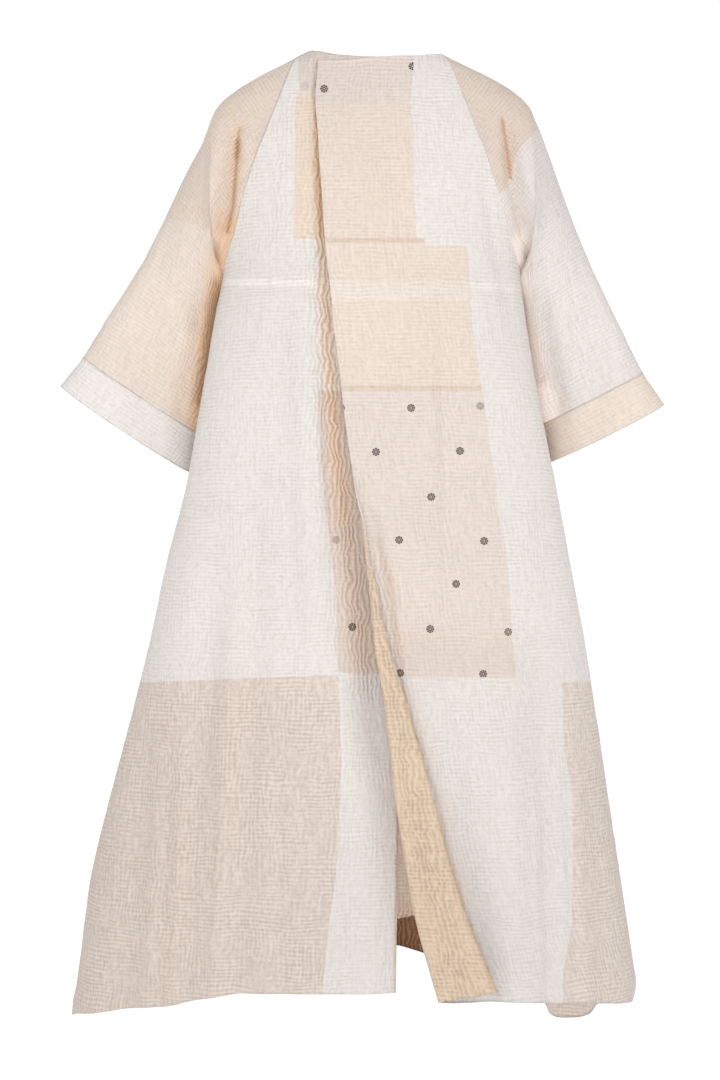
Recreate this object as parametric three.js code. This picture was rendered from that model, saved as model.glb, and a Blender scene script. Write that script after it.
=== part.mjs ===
// A full-length open-front kimono of quilted patchwork cotton, filled out as if worn, with raglan sleeves and cuffs.
// Millimetres, +Z up. The origin is where a wearer's shoulders hold it: on the shoulder line, between the neck
// points. The front faces -Y. Left and right in the tables are the viewer's, seen from the front: left is -X.
// Every panel is a wall of quilted cloth. Its middle surface comes from the tables below, and its outer points
// rise and fall with the quilting over a plain inside.
import * as THREE from 'three';

const NECK_LEVEL = 0; // where a panel's turns are read for its neck edge, and for its hem
const HEM_LEVEL = -1230;
const WALL = 2; // two worn cotton layers, quilted together
const SEAM_GAP = 0.3; // between two pieces that are sewn together
const QUILT_RISE = 0.6; // how far every second row of points stands out
const ROWS_ABOVE_UNDERARM = 14; // even, so that the sleeve can meet every second row
const ROWS_BELOW_UNDERARM = 40;
const PANEL_INSIDE_STEP = 2; // a panel's plain inside has half of its rows, and its seam is straight between these
const SLEEVE_INSIDE_STEP = 1; // a sleeve bends more, so its inside has them all
const UNDERARM_SHARE = 0.2275; // how far down a side edge the underarm lies, as a share of its height
const FOLD_RADIUS = 3.5; // bend of the turned-back front edge
const FLAP_COLUMNS = 7; // columns round that bend and along the turned-back cloth
const FLAP_RISES = 16; // how much higher the turned-back cloth's free edge lies at the hem than the fold
const FLAP_RISES_FROM = -950;
const UNDERARM_POINTS = 3; // seam points on each side of the underarm where the sleeve turns down
const NECK_POINTS = 5; // and beside the neck point where it follows the shoulder
const YOKE_RINGS = 6; // sleeve rings between the raglan seam and the armhole
const SLEEVE_RINGS = 15; // sleeve rings between the armhole and the cuff
const CUFF_RINGS = 3;

// The body's level sections. left, right: half widths. front, back: the section's foremost and rearmost y.
// side: the y of the side seam. power: 2 is an ellipse, more is squarer.
const BODY = [
  { z: 14, left: 56, right: 84, front: -48, back: 50, side: 0, power: 2 },
  { z: 5, left: 76, right: 90, front: -51, back: 53, side: 0, power: 2 },
  { z: -3, left: 94, right: 99, front: -54, back: 57, side: 0, power: 2 },
  { z: -24, left: 146, right: 157, front: -62, back: 68, side: 0, power: 1.9 },
  { z: -61, left: 197, right: 205, front: -78, back: 86, side: 0, power: 1.8 },
  { z: -115, left: 216, right: 220, front: -97, back: 100, side: -2, power: 1.9 },
  { z: -170, left: 214, right: 217, front: -109, back: 107, side: -4, power: 2 },
  { z: -230, left: 205, right: 207, front: -115, back: 109, side: -7, power: 2.1 },
  { z: -290, left: 196, right: 198, front: -118, back: 109, side: -10, power: 2.1 },
  { z: -345, left: 205, right: 203, front: -119, back: 110, side: -12, power: 2.1 },
  { z: -400, left: 214, right: 211, front: -120, back: 112, side: -14, power: 2.1 },
  { z: -505, left: 232, right: 230, front: -123, back: 119, side: -14, power: 2.1 },
  { z: -573, left: 244, right: 244, front: -126, back: 125, side: -12, power: 2.1 },
  { z: -675, left: 270, right: 263, front: -133, back: 134, side: -8, power: 2.1 },
  { z: -781, left: 293, right: 283, front: -141, back: 144, side: -4, power: 2.1 },
  { z: -888, left: 320, right: 300, front: -149, back: 153, side: 0, power: 2.1 },
  { z: -995, left: 348, right: 316, front: -157, back: 162, side: 0, power: 2.1 },
  { z: -1101, left: 373, right: 332, front: -165, back: 171, side: 0, power: 2.1 },
  { z: -1208, left: 387, right: 348, front: -172, back: 179, side: 0, power: 2.1 },
  { z: -1236, left: 391, right: 352, front: -174, back: 181, side: 0, power: 2.1 },
  { z: -1264, left: 396, right: 347, front: -176, back: 183, side: 0, power: 2.1 },
  { z: -1315, left: 400, right: 343, front: -178, back: 185, side: 0, power: 2.1 },
];

// Half the distance between the two raglan seams, in front and behind, by height.
const RAGLAN = [
  { z: 12, front: 90, back: 88 },
  { z: 0, front: 92, back: 90 },
  { z: -10, front: 97, back: 94 },
  { z: -24, front: 104, back: 100 },
  { z: -54, front: 115, back: 112 },
  { z: -101, front: 132, back: 130 },
  { z: -150, front: 151, back: 149 },
  { z: -200, front: 167, back: 166 },
  { z: -246, front: 179, back: 180 },
  { z: -272, front: 189, back: 190 },
  { z: -288, front: 195, back: 196 },
];
const RIDGE_SHARE = 0.985; // the seams stay this near the shoulder ridge, where front and back meet

// Height of the neck edge: turn -1 is the viewer's left neck point, 0 the middle, 1 the right neck point.
const NECK_FRONT = [
  { turn: -1, z: -6 },
  { turn: -0.76, z: 2 },
  { turn: -0.6, z: -4 },
  { turn: -0.42, z: -11 },
  { turn: 0, z: -15 },
  { turn: 0.5, z: -13 },
  { turn: 0.75, z: -9 },
  { turn: 1, z: -5 },
];
const NECK_BACK = [
  { turn: -1, z: -6 },
  { turn: -0.76, z: 2 },
  { turn: -0.5, z: 0 },
  { turn: 0, z: -5 },
  { turn: 0.6, z: -6 },
  { turn: 1, z: -5 },
];

// Height of the hem by turn: -1 and 1 are the side seams.
const HEM_FRONT = [
  { turn: -1, z: -1281 },
  { turn: -0.87, z: -1272 },
  { turn: -0.737, z: -1265 },
  { turn: -0.578, z: -1252 },
  { turn: -0.46, z: -1245 },
  { turn: -0.364, z: -1233 },
  { turn: -0.245, z: -1223 },
  { turn: 0.06, z: -1221 },
  { turn: 0.15, z: -1232 },
  { turn: 0.3, z: -1234 },
  { turn: 0.436, z: -1240 },
  { turn: 0.628, z: -1248 },
  { turn: 0.85, z: -1256 },
  { turn: 1, z: -1259 },
];
const HEM_BACK = [
  { turn: -1, z: -1281 },
  { turn: -0.6, z: -1268 },
  { turn: 0, z: -1216 },
  { turn: 0.3, z: -1256 },
  { turn: 0.44, z: -1280 },
  { turn: 0.49, z: -1290 },
  { turn: 0.51, z: -1305 },
  { turn: 0.54, z: -1309 },
  { turn: 0.61, z: -1306 },
  { turn: 0.67, z: -1298 },
  { turn: 0.7, z: -1284 },
  { turn: 0.74, z: -1272 },
  { turn: 0.82, z: -1264 },
  { turn: 1, z: -1259 },
];

// The lapping front's edge or fold by height: its x, how far it is turned back in degrees, and the cloth past it.
const LAP_EDGE = [
  { z: 12, x: -68, turned: 0, beyond: 9 },
  { z: -20, x: -69, turned: 0, beyond: 9 },
  { z: -77, x: -72, turned: 0, beyond: 9 },
  { z: -118, x: -69, turned: 0, beyond: 9 },
  { z: -158, x: -66.5, turned: 0, beyond: 9 },
  { z: -198, x: -63.5, turned: 0, beyond: 9 },
  { z: -262, x: -59.5, turned: 0, beyond: 9 },
  { z: -320, x: -53, turned: 0, beyond: 9 },
  { z: -378, x: -47.5, turned: 0, beyond: 9 },
  { z: -430, x: -41, turned: 0, beyond: 9 },
  { z: -479, x: -35.5, turned: 0, beyond: 9 },
  { z: -528, x: -29, turned: 0, beyond: 9 },
  { z: -560, x: -24, turned: 20, beyond: 10 },
  { z: -600, x: -16, turned: 80, beyond: 11 },
  { z: -661, x: -8, turned: 150, beyond: 15 },
  { z: -725, x: -1, turned: 166, beyond: 22 },
  { z: -789, x: 5, turned: 168, beyond: 29 },
  { z: -839, x: 14, turned: 168, beyond: 36 },
  { z: -997, x: 33, turned: 168, beyond: 58 },
  { z: -1122, x: 54, turned: 168, beyond: 70 },
  { z: -1240, x: 86, turned: 168, beyond: 82 },
];

// The front underneath: the x of its free edge, where it starts to sink behind the other, and how deep it sinks.
const UNDER_EDGE = [
  { z: 12, x: 52, sink_from: -82, sink_over: 24, sink: 9 },
  { z: -100, x: 52, sink_from: -83, sink_over: 22, sink: 12 },
  { z: -300, x: 50, sink_from: -78, sink_over: 24, sink: 18 },
  { z: -532, x: 44, sink_from: -70, sink_over: 36, sink: 26 },
  { z: -716, x: 40, sink_from: -52, sink_over: 46, sink: 28 },
  { z: -860, x: 37, sink_from: -42, sink_over: 50, sink: 24 },
  { z: -1002, x: 35, sink_from: -22, sink_over: 50, sink: 18 },
  { z: -1250, x: 30, sink_from: 0, sink_over: 60, sink: 15 },
];
const LAP_STANDS_OUT = 4; // the lapping front at its edge
const LAP_SETTLES_OVER = 150;

// Sleeve sections from the armhole to the cuff's end. top and low are the section's two ends, x measured from the
// middle of the garment. front and back are how far it bulges in front of and behind the line between them, droop
// how far its middle hangs below that line.
const SLEEVE_LEFT = [
  { top_x: 210, top_y: 0, top_z: -86, low_x: 212, low_y: 0, low_z: -276, front: 76, back: 78, droop: 0 },
  { top_x: 222, top_y: 0, top_z: -117, low_x: 209, low_y: 10, low_z: -298, front: 72, back: 74, droop: 0 },
  { top_x: 249, top_y: 2, top_z: -168, low_x: 206, low_y: 26, low_z: -340, front: 62, back: 62, droop: 0 },
  { top_x: 302, top_y: 4, top_z: -275, low_x: 214, low_y: 34, low_z: -403, front: 50, back: 46, droop: 0 },
  { top_x: 347, top_y: 6, top_z: -345, low_x: 223, low_y: 37, low_z: -458, front: 42, back: 40, droop: 0 },
  { top_x: 384, top_y: 8, top_z: -404, low_x: 230, low_y: 38, low_z: -507, front: 38, back: 36, droop: 3 },
  { top_x: 414, top_y: 8, top_z: -442, low_x: 241, low_y: 38, low_z: -557, front: 38, back: 36, droop: 6 },
];
const SLEEVE_RIGHT = [
  { top_x: 213, top_y: 0, top_z: -81, low_x: 213, low_y: 0, low_z: -278, front: 78, back: 80, droop: 0 },
  { top_x: 228, top_y: 0, top_z: -116, low_x: 210, low_y: 10, low_z: -300, front: 74, back: 78, droop: 0 },
  { top_x: 247, top_y: 2, top_z: -168, low_x: 206, low_y: 26, low_z: -340, front: 64, back: 70, droop: 0 },
  { top_x: 289, top_y: 4, top_z: -275, low_x: 211, low_y: 34, low_z: -403, front: 54, back: 62, droop: 0 },
  { top_x: 325, top_y: 6, top_z: -350, low_x: 219, low_y: 37, low_z: -448, front: 48, back: 58, droop: 0 },
  { top_x: 362, top_y: 8, top_z: -424, low_x: 226, low_y: 38, low_z: -493, front: 44, back: 56, droop: 3 },
  { top_x: 391, top_y: 8, top_z: -467, low_x: 236, low_y: 38, low_z: -544, front: 44, back: 56, droop: 5 },
];
const SLEEVE_POWER = 2.2;
const SHOULDER_SLOPE = -0.6; // fall of the shoulder line beside the neck
const ARRIVES = 0.8; // how strongly the yoke turns into the armhole, as a share of how it leaves the seam
const SIDE_FADE = 20; // folds die out this far from the side seam's y
const SEAM_JOINS_SIDE = 10; // the raglan seam runs into the side seam over this height
const FOLD_STEPS = 24; // points at which a fold's curve is read
const FOLD_STRETCH = 0.35; // a fold is this much wider across than along
const FOLD_GROWS = 2.2; // it reaches its full height in 1/2.2 of its length

// The y that parts a sleeve's front from its back.
const SLEEVE_MIDDLE = [
  { z: -60, y: 0 },
  { z: -210, y: 12 },
  { z: -360, y: 24 },
];

// Large folds as curves in the front view. from, by and to give x and z of the start, the middle's pull and the
// end. width is half the fold's width, height its rise: less than 0 is a trough.
const FOLDS_FRONT_UNDER = [
  { from: [-182, -560], by: [-215, -800], to: [-238, -1250], width: 26, height: -11 },
  { from: [-150, -430], by: [-150, -760], to: [-178, -1235], width: 24, height: -9 },
  { from: [-165, -640], by: [-185, -900], to: [-208, -1240], width: 22, height: 7 },
  { from: [-92, -250], by: [-92, -480], to: [-72, -760], width: 16, height: 7 },
  { from: [-280, -760], by: [-300, -980], to: [-322, -1265], width: 24, height: -8 },
];
const FOLDS_FRONT_LAPPING = [
  { from: [92, -330], by: [110, -520], to: [104, -760], width: 20, height: -5 },
  { from: [60, -640], by: [92, -900], to: [150, -1230], width: 18, height: -7 },
  { from: [215, -700], by: [226, -950], to: [232, -1240], width: 30, height: -8 },
  { from: [160, -760], by: [178, -1000], to: [190, -1235], width: 26, height: 6 },
  { from: [285, -860], by: [296, -1050], to: [306, -1260], width: 22, height: -7 },
];
const FOLDS_BACK = [
  { from: [-40, -420], by: [-52, -800], to: [-70, -1230], width: 30, height: -11 },
  { from: [60, -380], by: [74, -800], to: [84, -1240], width: 32, height: -12 },
  { from: [-150, -480], by: [-178, -860], to: [-210, -1250], width: 28, height: -10 },
  { from: [165, -520], by: [196, -880], to: [222, -1290], width: 28, height: -11 },
  { from: [6, -560], by: [8, -900], to: [10, -1230], width: 26, height: 8 },
  { from: [-262, -700], by: [-288, -960], to: [-312, -1270], width: 24, height: -8 },
];
const FOLDS_SLEEVE_FRONT = [
  { from: [176, -68], by: [174, -150], to: [206, -248], width: 12, height: -15 },
  { from: [196, -96], by: [204, -180], to: [214, -300], width: 12, height: 7 },
  { from: [250, -230], by: [262, -330], to: [300, -440], width: 20, height: -6 },
];
const FOLDS_SLEEVE_BACK = [
  { from: [180, -80], by: [186, -170], to: [200, -262], width: 14, height: -13 },
  { from: [246, -210], by: [262, -330], to: [306, -450], width: 22, height: -7 },
];

const COTTON = { roughness: 0.9, metalness: 0 };
const CREAM = new THREE.MeshStandardMaterial({ color: 0xeae4df, ...COTTON });
const BEIGE = new THREE.MeshStandardMaterial({ color: 0xe8d6c6, ...COTTON });

const clamp01 = (value) => Math.min(1, Math.max(0, value));
const mix = (a, b, share) => a + (b - a) * share;
const ease = (value) => clamp01(value) ** 2 * (3 - 2 * clamp01(value));

// Reads one column of a table as a smooth function that has no overshoot between rows.
function column(table, key, name) {
  const rows = [...table].sort((a, b) => a[key] - b[key]);
  const steps = rows.slice(1).map((row, i) => (row[name] - rows[i][name]) / (row[key] - rows[i][key]));
  const slopes = rows.map((row, i) => {
    if (i === 0) return steps[0];
    if (i === rows.length - 1) return steps[i - 1];
    const [before, after] = [steps[i - 1], steps[i]];
    return before * after <= 0 ? 0 : (2 * before * after) / (before + after);
  });
  return (at) => {
    const place = Math.min(rows[rows.length - 1][key], Math.max(rows[0][key], at));
    let i = 0;
    while (i < rows.length - 2 && place > rows[i + 1][key]) i += 1;
    const width = rows[i + 1][key] - rows[i][key];
    const t = (place - rows[i][key]) / width;
    const bend = t * t * (3 - 2 * t);
    return rows[i][name] * (1 - bend) + rows[i + 1][name] * bend
      + width * (slopes[i] * t * (1 - t) ** 2 - slopes[i + 1] * t * t * (1 - t));
  };
}

function columns(table, key) {
  const names = Object.keys(table[0]).filter((name) => name !== key);
  return Object.fromEntries(names.map((name) => [name, column(table, key, name)]));
}

const body = columns(BODY, 'z');
const raglan = columns(RAGLAN, 'z');
const neckFront = column(NECK_FRONT, 'turn', 'z');
const neckBack = column(NECK_BACK, 'turn', 'z');
const hemFront = column(HEM_FRONT, 'turn', 'z');
const hemBack = column(HEM_BACK, 'turn', 'z');
const lap = columns(LAP_EDGE, 'z');
const under = columns(UNDER_EDGE, 'z');
const sleeveMiddle = column(SLEEVE_MIDDLE, 'z', 'y');

// A point of the body's plain form. face is 'front' or 'back', turn runs from -1 at the viewer's left side seam
// to 1 at the right one.
function bodyPoint(face, turn, z) {
  const angle = (turn * Math.PI) / 2;
  const power = 2 / body.power(z);
  const half = turn < 0 ? body.left(z) : body.right(z);
  const across = Math.sign(turn) * Math.abs(Math.sin(angle)) ** power;
  const deep = Math.abs(Math.cos(angle)) ** power;
  return new THREE.Vector3(across * half, mix(body.side(z), body[face](z), deep), z);
}

// The turn at which the body's section passes a given x.
function turnAt(x, z) {
  const half = x < 0 ? body.left(z) : body.right(z);
  const share = Math.min(1, Math.abs(x) / half);
  return (Math.sign(x) * Math.asin(share ** (body.power(z) / 2)) * 2) / Math.PI;
}

// The turn at which a panel ends on one side: the raglan seam, and the side seam below the underarm.
function edgeTurn(face, side, z, underarm) {
  if (z <= underarm) return side;
  const half = side < 0 ? body.left(z) : body.right(z);
  const nearUnderarm = ease(1 - (z - underarm) / SEAM_JOINS_SIDE);
  const x = mix(Math.min(raglan[face](z), half * RIDGE_SHARE), half, nearUnderarm);
  return turnAt(side * x, z);
}

// The level outward direction of the body's form at a point.
function outward(point) {
  const half = point.x < 0 ? body.left(point.z) : body.right(point.z);
  const face = point.y < body.side(point.z) ? 'front' : 'back';
  const reach = body[face](point.z) - body.side(point.z);
  const x = point.x / half;
  const y = (point.y - body.side(point.z)) / Math.abs(reach);
  const power = body.power(point.z) - 1;
  const direction = new THREE.Vector3(
    (Math.sign(x) * Math.abs(x) ** power) / half,
    (Math.sign(y) * Math.abs(y) ** power) / Math.abs(reach),
    0,
  );
  return direction.normalize();
}

// How far a table of folds moves the cloth at x, z of the front view.
function foldHeight(folds, x, z) {
  let sum = 0;
  for (const { from, by, to, width, height } of folds) {
    let nearest = Infinity;
    let along = 0;
    for (let i = 0; i <= FOLD_STEPS; i += 1) {
      const t = i / FOLD_STEPS;
      const curveX = from[0] * (1 - t) ** 2 + 2 * by[0] * t * (1 - t) + to[0] * t * t;
      const curveZ = from[1] * (1 - t) ** 2 + 2 * by[1] * t * (1 - t) + to[1] * t * t;
      const distance = Math.hypot(x - curveX, (z - curveZ) * FOLD_STRETCH);
      if (distance < nearest) [nearest, along] = [distance, t];
    }
    const grows = ease(along * FOLD_GROWS);
    sum += height * grows * Math.exp(-((nearest / width) ** 2));
  }
  return sum;
}

// The share of its height at which each row of a panel lies.
function rowShares() {
  const shares = [];
  for (let i = 0; i <= ROWS_ABOVE_UNDERARM; i += 1) shares.push((UNDERARM_SHARE * i) / ROWS_ABOVE_UNDERARM);
  for (let i = 1; i <= ROWS_BELOW_UNDERARM; i += 1) {
    shares.push(mix(UNDERARM_SHARE, 1, i / ROWS_BELOW_UNDERARM));
  }
  return shares;
}

// A grid of middle points: rows from neck to hem, columns from startTurn to endTurn.
function panelGrid({ face, neck, hem, count, startTurn, endTurn, shape }) {
  return rowShares().map((share) => {
    const row = [];
    for (let j = 0; j <= count; j += 1) {
      const across = j / count;
      const neckTurn = mix(startTurn(NECK_LEVEL), endTurn(NECK_LEVEL), across);
      const neckWidth = Math.abs(edgeTurn(face, Math.sign(neckTurn) || 1, NECK_LEVEL, -Infinity));
      const hemTurn = mix(startTurn(HEM_LEVEL), endTurn(HEM_LEVEL), across);
      const z = mix(neck(neckTurn / neckWidth), hem(hemTurn), share);
      const turn = mix(startTurn(z), endTurn(z), across);
      row.push(shape(bodyPoint(face, turn, z)));
    }
    return row;
  });
}

function shaped(folds, extra) {
  return (point) => {
    const direction = outward(point);
    const fade = ease(Math.abs(point.y - body.side(point.z)) / SIDE_FADE);
    const rise = fade * foldHeight(folds, point.x, point.z) + extra(point);
    return point.addScaledVector(direction, rise);
  };
}

const leftUnderarm = mix(neckFront(-1), hemFront(-1), UNDERARM_SHARE);
const rightUnderarm = mix(neckFront(1), hemFront(1), UNDERARM_SHARE);

function backGrid() {
  return panelGrid({
    face: 'back',
    neck: neckBack,
    hem: hemBack,
    count: 22,
    startTurn: (z) => edgeTurn('back', -1, z, leftUnderarm),
    endTurn: (z) => edgeTurn('back', 1, z, rightUnderarm),
    shape: shaped(FOLDS_BACK, () => 0),
  });
}

function frontUnderGrid() {
  const sink = ({ x, z }) => -under.sink(z) * ease((x - under.sink_from(z)) / under.sink_over(z));
  return panelGrid({
    face: 'front',
    neck: neckFront,
    hem: hemFront,
    count: 16,
    startTurn: (z) => edgeTurn('front', -1, z, leftUnderarm),
    endTurn: (z) => turnAt(under.x(z), z),
    shape: shaped(FOLDS_FRONT_UNDER, sink),
  });
}

// Cloth past the lapping front's fold: round a small bend and then back over the panel.
function turnedBack(fold, level, z) {
  const angle = (lap.turned(z) * Math.PI) / 180;
  const out = new THREE.Vector3(level.y, -level.x, 0);
  if (out.y > 0) out.negate();
  const bendLength = FOLD_RADIUS * angle;
  const length = lap.beyond(z);
  const rises = FLAP_RISES * ease((FLAP_RISES_FROM - z) / (FLAP_RISES_FROM - HEM_LEVEL));
  const points = [];
  for (let k = 1; k <= FLAP_COLUMNS; k += 1) {
    const bendColumns = 4;
    const reach = k <= bendColumns
      ? (Math.max(bendLength, length * 0.5) * k) / bendColumns
      : mix(Math.max(bendLength, length * 0.5), length, (k - bendColumns) / (FLAP_COLUMNS - bendColumns));
    const bent = angle > 0.01 ? Math.min(angle, reach / FOLD_RADIUS) : 0;
    const straight = reach - FOLD_RADIUS * bent;
    const across = FOLD_RADIUS * Math.sin(bent) + straight * Math.cos(bent);
    const lift = FOLD_RADIUS * (1 - Math.cos(bent)) + straight * Math.sin(bent);
    const point = fold.clone().addScaledVector(level, across).addScaledVector(out, lift);
    point.z += (rises * reach) / length;
    points.push(point);
  }
  return points;
}

function frontLappingGrid() {
  const past = (z) => mix(lap.beyond(z), FOLD_RADIUS, ease(lap.turned(z) / 90));
  const standOut = ({ x, z }) => LAP_STANDS_OUT * ease(1 - (x - lap.x(z)) / LAP_SETTLES_OVER);
  const panel = panelGrid({
    face: 'front',
    neck: neckFront,
    hem: hemFront,
    count: 14,
    startTurn: (z) => edgeTurn('front', 1, z, rightUnderarm),
    endTurn: (z) => turnAt(lap.x(z) + past(z), z),
    shape: shaped(FOLDS_FRONT_LAPPING, standOut),
  });
  return panel.map((row) => {
    const fold = row[row.length - 1];
    const level = fold.clone().sub(row[row.length - 2]).setZ(0).normalize();
    return [...row, ...turnedBack(fold, level, fold.z)];
  });
}

// Directions across a grid's surface, from its neighbouring points. sign turns them outward.
function surfaceNormals(grid, sign, closed) {
  const rows = grid.length;
  const count = grid[0].length;
  return grid.map((row, i) => row.map((point, j) => {
    const up = grid[Math.max(0, i - 1)][j];
    const down = grid[Math.min(rows - 1, i + 1)][j];
    const before = closed ? row[(j + count - 1) % count] : row[Math.max(0, j - 1)];
    const after = closed ? row[(j + 1) % count] : row[Math.min(count - 1, j + 1)];
    const along = down.clone().sub(up);
    const across = after.clone().sub(before);
    return across.cross(along).multiplyScalar(sign).normalize();
  }));
}

// Joins two lines of vertices that run side by side. Each entry has its vertex number and its place on the line.
function zip(faces, a, b) {
  let i = 0;
  let j = 0;
  while (i < a.length - 1 || j < b.length - 1) {
    if (j === b.length - 1 || (i < a.length - 1 && a[i + 1].place <= b[j + 1].place)) {
      faces.push([a[i].vertex, a[i + 1].vertex, b[j].vertex]);
      i += 1;
    } else {
      faces.push([a[i].vertex, b[j + 1].vertex, b[j].vertex]);
      j += 1;
    }
  }
}

// A closed wall round a grid of middle points. The outside follows every row and is quilted, the inside is plain.
function wall(grid, normals, closed) {
  const rows = grid.length;
  const count = grid[0].length;
  const insideRows = [];
  for (let i = 0; i < rows - 1; i += closed ? SLEEVE_INSIDE_STEP : PANEL_INSIDE_STEP) insideRows.push(i);
  insideRows.push(rows - 1);
  const positions = [];
  const add = (point, normal, offset) => {
    positions.push(point.x + normal.x * offset, point.y + normal.y * offset, point.z + normal.z * offset);
    return positions.length / 3 - 1;
  };
  const outside = grid.map((row, i) => row.map((point, j) => {
    const atEdge = i === 0 || i === rows - 1 || (!closed && (j === 0 || j === count - 1));
    const rise = !atEdge && i % 2 === 1 ? QUILT_RISE : 0;
    return add(point, normals[i][j], WALL / 2 + rise);
  }));
  const inside = insideRows.map((i) => grid[i].map((point, j) => add(point, normals[i][j], -WALL / 2)));
  const faces = [];
  const sheet = (numbers, flip) => {
    const across = closed ? count : count - 1;
    for (let i = 0; i < numbers.length - 1; i += 1) {
      for (let j = 0; j < across; j += 1) {
        const next = (j + 1) % count;
        const [a, b, c, d] = [numbers[i][j], numbers[i][next], numbers[i + 1][next], numbers[i + 1][j]];
        faces.push(flip ? [a, b, c] : [a, c, b], flip ? [a, c, d] : [a, d, c]);
      }
    }
  };
  sheet(outside, false);
  sheet(inside, true);
  const level = (line) => (closed ? [...line, line[0]] : line).map((vertex, place) => ({ vertex, place }));
  const upright = (numbers, places, j) => numbers.map((row, i) => ({ vertex: row[j], place: places[i] }));
  const outsideRows = grid.map((_, i) => i);
  zip(faces, level(outside[0]), level(inside[0]));
  zip(faces, level(inside[inside.length - 1]), level(outside[rows - 1]));
  if (!closed) {
    zip(faces, upright(inside, insideRows, 0), upright(outside, outsideRows, 0));
    zip(faces, upright(outside, outsideRows, count - 1), upright(inside, insideRows, count - 1));
  }
  const geometry = new THREE.BufferGeometry();
  geometry.setAttribute('position', new THREE.Float32BufferAttribute(positions, 3));
  geometry.setIndex(signedVolume(positions, faces) < 0 ? faces.flatMap(([a, b, c]) => [a, c, b]) : faces.flat());
  geometry.computeVertexNormals();
  return geometry;
}

function signedVolume(positions, faces) {
  const corner = (n) => new THREE.Vector3(positions[3 * n], positions[3 * n + 1], positions[3 * n + 2]);
  return faces.reduce((sum, [a, b, c]) => sum + corner(a).dot(corner(b).cross(corner(c))), 0);
}

// Straightens a seam between every second row, so that the pieces on both sides follow one line, and draws the
// panel back from it by half the seam's gap. Returns the seam's own points.
function finishSeam(grid, normals, edge, inner) {
  for (let i = 1; i < ROWS_ABOVE_UNDERARM; i += PANEL_INSIDE_STEP) {
    grid[i][edge].addVectors(grid[i - 1][edge], grid[i + 1][edge]).multiplyScalar(0.5);
    normals[i][edge].addVectors(normals[i - 1][edge], normals[i + 1][edge]).normalize();
  }
  return grid.map((row, i) => {
    const point = row[edge].clone();
    const away = point.clone().sub(row[inner]).normalize();
    row[edge].addScaledVector(away, -SEAM_GAP * 0.7);
    return { point, away, normal: normals[i][edge] };
  });
}

// Turns the side seam's two edges the same way, so that they meet face to face.
function shareSideNormals(frontSeam, backSeam) {
  for (let i = ROWS_ABOVE_UNDERARM; i < frontSeam.length; i += 1) {
    const normal = frontSeam[i].normal.clone().add(backSeam[i].normal).normalize();
    frontSeam[i].normal.copy(normal);
    backSeam[i].normal.copy(normal);
  }
}

// The raglan seam as a ring: from the underarm up the front, over the neck point and down the back. Each stretch
// between two seam points has one point between them.
function seamRing(frontSeam, backSeam, side) {
  const front = frontSeam.slice(0, ROWS_ABOVE_UNDERARM + 1).reverse();
  const back = backSeam.slice(0, ROWS_ABOVE_UNDERARM);
  const alongShoulder = new THREE.Vector3(side, 0, SHOULDER_SLOPE).normalize();
  const neckMiddle = {
    point: front[front.length - 1].point.clone().add(back[0].point).multiplyScalar(0.5),
    away: alongShoulder,
    normal: new THREE.Vector3(-side * SHOULDER_SLOPE, 0, 1).normalize(),
  };
  const ring = [...front, neckMiddle, ...back];
  ring[0].away = new THREE.Vector3(0, 0, 1);
  return ring.map(({ point, away, normal }, j) => {
    const nearUnderarm = ease(1 - Math.min(j, ring.length - j) / UNDERARM_POINTS);
    const nearNeck = ease(1 - Math.abs(j - ring.length / 2) / NECK_POINTS);
    const leaving = away.clone().addScaledVector(new THREE.Vector3(side, 0, 0), 2 * nearUnderarm)
      .lerp(alongShoulder, nearNeck).normalize();
    return { point, away, leaving, normal, gap: SEAM_GAP * (1 + 2.6 * nearUnderarm) };
  });
}

// A point of a sleeve section. share runs once round: 0 at the low edge, up the front, 0.5 at the top edge.
function sleevePoint(side, section, share) {
  const angle = share * 2 * Math.PI;
  const power = 2 / SLEEVE_POWER;
  const along = -Math.sign(Math.cos(angle)) * Math.abs(Math.cos(angle)) ** power;
  const deep = Math.abs(Math.sin(angle)) ** power;
  const bulge = Math.sin(angle) > 0 ? -section.front : section.back;
  const up = (along + 1) / 2;
  const x = mix(section.low_x, section.top_x, up);
  const y = mix(section.low_y, section.top_y, up);
  const z = mix(section.low_z, section.top_z, up);
  return new THREE.Vector3(side * x, y + bulge * deep, z - section.droop * deep);
}

// A smooth path between two points that leaves and arrives in given directions.
function smoothPath(start, leaving, end, arriving, share) {
  const length = start.distanceTo(end);
  const rest = 1 - share;
  return start.clone().multiplyScalar(rest * rest * (1 + 2 * share))
    .addScaledVector(end, share * share * (3 - 2 * share))
    .addScaledVector(leaving, length * share * rest * rest)
    .addScaledVector(arriving, -length * ARRIVES * share * share * rest);
}

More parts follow.
